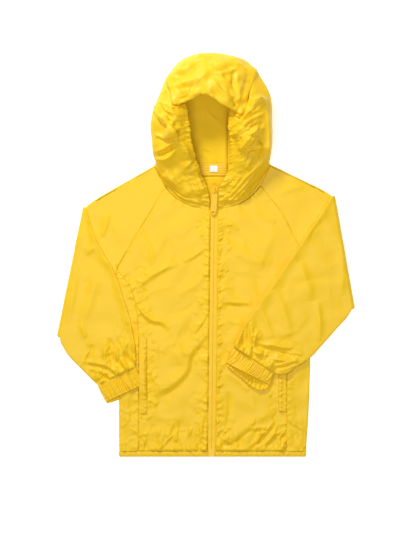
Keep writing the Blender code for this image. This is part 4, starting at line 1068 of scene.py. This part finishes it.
for side, grid in hood_sides.items():
    sign = SIGN[side]
    outward = normals(grid, side == "left")
    x, y, z = grid[..., 0], grid[..., 1], grid[..., 2]
    edges = inset(grid)
    along_edge, from_edge = edges.first_row[:, :1] + 0 * edges.first_row, edges.first_column
    up = np.clip(outward[..., 2] * 1.6, 0, 1) * np.clip(z / 8, 0, 1)
    free = np.clip(z / 6, 0, 1)
    height = 1.2 * billow(x, y + z, 75, 101 + sign) + 2.0 * up * crumpled(x, y, 32, 104 + sign)
    height += (3.5 * creased(x, y, ALL_CREASES) + 1.3 * strewn(x, y, HOOD_FIELDS, 128)) * up
    height += puckers(along_edge, from_edge, edge_line(FACE_RUN), 1, 15, 2.5, 4.6, 107 + sign)
    height += puckers(along_edge, from_edge, edge_line(FACE_RUN, SIDE_HEM), 1, 19, 1.9, 6.5,
                      111 + sign)
    height += groove(np.abs(from_edge - SIDE_HEM), 0.8, 1.2)
    stand = np.clip(outward[..., 2], 0, 1)
    height += (1.8 * np.exp(-((edges.last_row - 16) / 6) ** 2)
               - 1.3 * np.exp(-((edges.last_row - 5) / 4) ** 2)) * stand
    crown = edge_line(CROWN_RUN)
    height += puckers(edges.first_column, edges.first_row, crown, 1, 15, 1.2, 9, 114 + sign)
    height += puckers(edges.first_column, edges.last_row, crown, 1, 12, 1.0, 8, 117 + sign)
    height += groove(np.abs(edges.last_row - 7), 0.4, 1.2)
    height *= free * np.clip(edges.last_row / 3, 0, 1) * np.clip(edges.first_row / 3, 0.1, 1)
    height += groove(edges.first_row, 0.3)
    grid = grid + outward * height[..., None]
    panel = cloth("hood_" + side + "_panel", "hood_side_" + side, grid, SHELL,
                  turn_over=side == "left")
    "sleeve_" + side + "_tube"

outward = normals(centre_grid)
x, y, z = centre_grid[..., 0], centre_grid[..., 1], centre_grid[..., 2]
edges = inset(centre_grid)
up = np.clip(outward[..., 2] * 1.6, 0, 1) * np.clip(z / 8, 0, 1)
inside = np.clip(-outward[..., 2], 0, 1) * (z < 3) * (y < 300)
height = 1.0 * billow(x, y + z, 75, 121) + 2.6 * up * crumpled(x, y, 30, 122)
height += (4.0 * creased(x, y, ALL_CREASES) + 1.3 * strewn(x, y, HOOD_FIELDS, 128)) * up
along_edge, from_edge = edges.first_column, edges.first_row
height += puckers(along_edge, from_edge, edge_line(CENTRE_RUN), 1, 13, 1.4, 4.8, 123)
height += puckers(along_edge, from_edge, edge_line(CENTRE_RUN, CENTRE_HEM), 1, 18, 1.5, 7, 124)
height += groove(np.abs(from_edge - CENTRE_HEM), 0.7, 1.2)
from_seam = np.minimum(edges.first_column, edges.last_column)
height += puckers(edges.first_row, from_seam, edge_line(SEAM_RUN), 1, 15, 1.2, 9, 125)
height *= np.clip(z / 6, 0, 1) * np.clip(from_seam / 3, 0.1, 1)
height += groove(from_seam, 0.3) * np.clip(z / 6, 0, 1)
sunk = np.clip(2 * creased(x, y, INSIDE_CREASES) + 0.5 * billow(x, y, 40, 126) + 0.5, 0, 4)
height -= sunk * inside
centre = cloth("hood_centre_panel", "hood_centre", centre_grid + outward * height[..., None], SHELL)

# ---------------------------------------------------------------- neck tape and label
# A flat tape covers the back neck seam, with rows of stitching across, and a small bare satin
# label is sewn on it.

TAPE_BOX = (-42.0, 26.0, 139.0, 160.0)
LABEL_BOX = (-3.8, 10.4, 144.2, 155.7)


def strip(box, top, rows, columns):
    """A flat strip with its upper face at one height."""
    right, left, low, high = box
    ys, xs = np.meshgrid(np.linspace(low, high, rows), np.linspace(right, left, columns),
                         indexing="ij")
    return np.dstack((xs, ys, np.full(xs.shape, top)))


grid = strip(TAPE_BOX, 2.7, 30, 60)
for line in (141.0, 145.5, 150.0, 154.5, 158.5):
    grid[..., 2] += groove(np.abs(grid[..., 1] - line), 0.8, 0.9)
grid[..., 2] += 0.25 * billow(grid[..., 0], grid[..., 1], 18, 131)
neck_tape = cloth("neck_tape_strip", "neck_tape", grid, BINDING)

satin, _ = plain("white satin", (0.9, 0.89, 0.84), 0.45)
grid = strip(LABEL_BOX, 3.7, 14, 16)
edges = inset(grid)
rim = np.minimum(np.minimum(edges.first_row, edges.last_row),
                 np.minimum(edges.first_column, edges.last_column))
grid[..., 2] += groove(rim, 0.25, 0.8) + 0.1 * billow(grid[..., 0], grid[..., 1], 10, 132)
label = cloth("neck_label", "size_label", grid, satin, wall=0.3)

# ---------------------------------------------------------------- zip
# A closed coil zip in the cloth's colour: two woven tapes turned in over the coil, a cast slider
# with a long flat pull at the top, and a moulded box at the foot.

ZIP_PATH = [(-350.6, LAYERS), (-200, LAYERS), (-60, LAYERS), (50, LAYERS), (78, LAYERS),
            (88, 5.3), (98, 7.6), (108, 10.8), (114, 12.8)]
TAPE_HALF = 7.6
TAPE_FINISH = nylon("zip tape", (0.98, 0.60, 0.026), roughness=0.5, crumple=0.05)
path = even(ZIP_PATH, 330)
for side in ("right", "left"):
    sign = SIGN[side]
    rows = []
    for y, z in path:
        middle = zip_middle(y)
        line = []
        for reach in np.linspace(0.03, TAPE_HALF, 12):
            curl = (0.2 * math.exp(-(reach / 0.7) ** 2)
                    + 0.25 * math.exp(-((reach - 5.4) / 0.5) ** 2))
            sunk = 0.55 * np.clip((reach - 5.8) / 1.0, 0, 1)
            line.append((middle + sign * reach, y, z + 0.15 - curl - sunk))
        rows.append(line)
    grid = np.array(rows)
    x, y = grid[..., 0], grid[..., 1]
    grid[..., 2] += 0.18 * billow(0.2 * x, y, 22, 141) + 0.10 * np.sin(y * 2 * math.pi / 3.1)
    tape = cloth("tape_" + side, "zip_tape_" + side, grid, TAPE_FINISH,
                 turn_over=side == "right")

lacquer, _ = plain("lacquered zip parts", (0.97, 0.60, 0.016), 0.3, 0.4)
for node in ("zip_slider", "zip_pull", "zip_box"):
    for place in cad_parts[node].material_slots:
        place.material = lacquer

PULL_SLOPE = math.radians(11)
HINGE = Vector((4.7, 113.0, 15.1))
EYE = Vector((-2.6, -39.8, 0.6))      # the eye at the pull's end, from its hinge, unsloped
RIM, RIM_WALL = 3.7, 0.9
rim_shape = bmesh.new()
wall_place = Matrix.Translation((RIM * MM, 0, 0)) @ Matrix.Rotation(math.pi / 2, 4, "X")
bmesh.ops.create_circle(rim_shape, segments=8, radius=RIM_WALL * MM, matrix=wall_place)
bmesh.ops.spin(rim_shape, geom=rim_shape.verts[:] + rim_shape.edges[:], cent=(0, 0, 0),
               axis=(0, 0, 1), angle=2 * math.pi, steps=24, use_merge=True)
bmesh.ops.recalc_face_normals(rim_shape, faces=rim_shape.faces)
rim_place = (Matrix.Translation(HINGE * MM) @ Matrix.Rotation(PULL_SLOPE, 4, "X")
             @ Matrix.Translation(EYE * MM))
bmesh.ops.transform(rim_shape, matrix=rim_place, verts=rim_shape.verts)
add_mesh("pull_rim", rim_shape, lacquer, body="pull")

# ---------------------------------------------------------------- stitches
# Rows of matching thread beside the raglan seams and both sides of the zip. Each stitch is a
# short round grain half sunk in the cloth.

STITCH_PITCH, STITCH_LENGTH, THREAD = 3.0, 2.1, 0.42


def stitches(name, lines):
    """Evenly spaced stitches along lines of points on the cloth, as one object."""
    shape = bmesh.new()
    lengthwise = (Matrix.Diagonal((STITCH_LENGTH / 2 * MM, THREAD * MM, THREAD * MM, 1))
                  @ Matrix.Rotation(-math.pi / 2, 4, "Y"))
    for line in lines:
        run = travelled(line)
        for place in np.arange(STITCH_PITCH / 2, run[-1], STITCH_PITCH):
            at = np.array([np.interp(place, run, c) for c in line.T])
            ahead = np.array([np.interp(place + 0.8, run, c) for c in line.T]) - at
            angle = math.atan2(ahead[1], ahead[0])
            climb = math.atan2(ahead[2], math.hypot(ahead[0], ahead[1]))
            turned = Matrix.Rotation(angle, 4, "Z") @ Matrix.Rotation(-climb, 4, "Y")
            bmesh.ops.create_uvsphere(shape, u_segments=5, v_segments=4, radius=1,
                                      matrix=Matrix.Translation(at * MM) @ turned @ lengthwise)
    return add_mesh(name, shape, BINDING)


def column_at(grid, distance, last=False):
    """The line that runs at a distance inside the first or the last column of a grid."""
    edges = inset(grid)
    away = (edges.last_column if last else edges.first_column).mean(axis=0)
    return grid[:, int(np.argmin(np.abs(away - distance)))]


zip_rows = [column_at(fronts[side], 3.0, last=True) for side in ("right", "left")]
raglan_rows = [column_at(fronts[side], 2.2)[200:] for side in ("right", "left")]
stitches("zip_stitching", zip_rows)
stitches("raglan_stitching", raglan_rows)

# ---------------------------------------------------------------- floor, lights and camera
# The garment lies on a plain white surface in soft light from the upper left, and is seen from
# straight above.

floor_shape = bmesh.new()
bmesh.ops.create_grid(floor_shape, x_segments=1, y_segments=1, size=4)
floor_mesh = bpy.data.meshes.new("floor")
floor_shape.to_mesh(floor_mesh)
floor_shape.free()
floor = bpy.data.objects.new("floor", floor_mesh)
floor.location.z = -0.0005
bpy.context.scene.collection.objects.link(floor)
white, sockets = plain("white floor", (0.95, 0.95, 0.95), 0.9, 0.0)
sockets["Emission Color"].default_value = (1, 1, 1, 1)
sockets["Emission Strength"].default_value = 0.45
floor_mesh.materials.append(white)


def area_light(name, location, size, power, glossy=True):
    """A square soft light that faces the origin, and may leave no highlights."""
    lamp = bpy.data.lights.new(name, "AREA")
    lamp.size = size
    lamp.energy = power
    made = bpy.data.objects.new(name, lamp)
    made.visible_glossy = glossy
    made.location = location
    made.rotation_euler = made.location.to_track_quat("Z", "Y").to_euler()
    bpy.context.scene.collection.objects.link(made)


area_light("key", (-0.5, 1.3, 0.95), 0.3, 17.5)
area_light("sheen", (-0.1, 0.0, 1.5), 0.7, 6.5)
area_light("fill", (0.1, -0.8, 1.65), 1.2, 8.6, glossy=False)
world = bpy.data.worlds.new("studio")
world.use_nodes = True
world.cycles_visibility.glossy = False
world.node_tree.nodes["Background"].inputs["Color"].default_value = (1, 1, 1, 1)
world.node_tree.nodes["Background"].inputs["Strength"].default_value = 0.22
bpy.context.scene.world = world
bpy.context.scene.view_settings.view_transform = "Standard"

lens = bpy.data.cameras.new("camera")
lens.type = "ORTHO"
lens.ortho_scale = 0.9396
camera = bpy.data.objects.new("camera", lens)
camera.location = (-0.0035, -0.0261, 3.0)
bpy.context.scene.collection.objects.link(camera)
bpy.context.scene.camera = camera
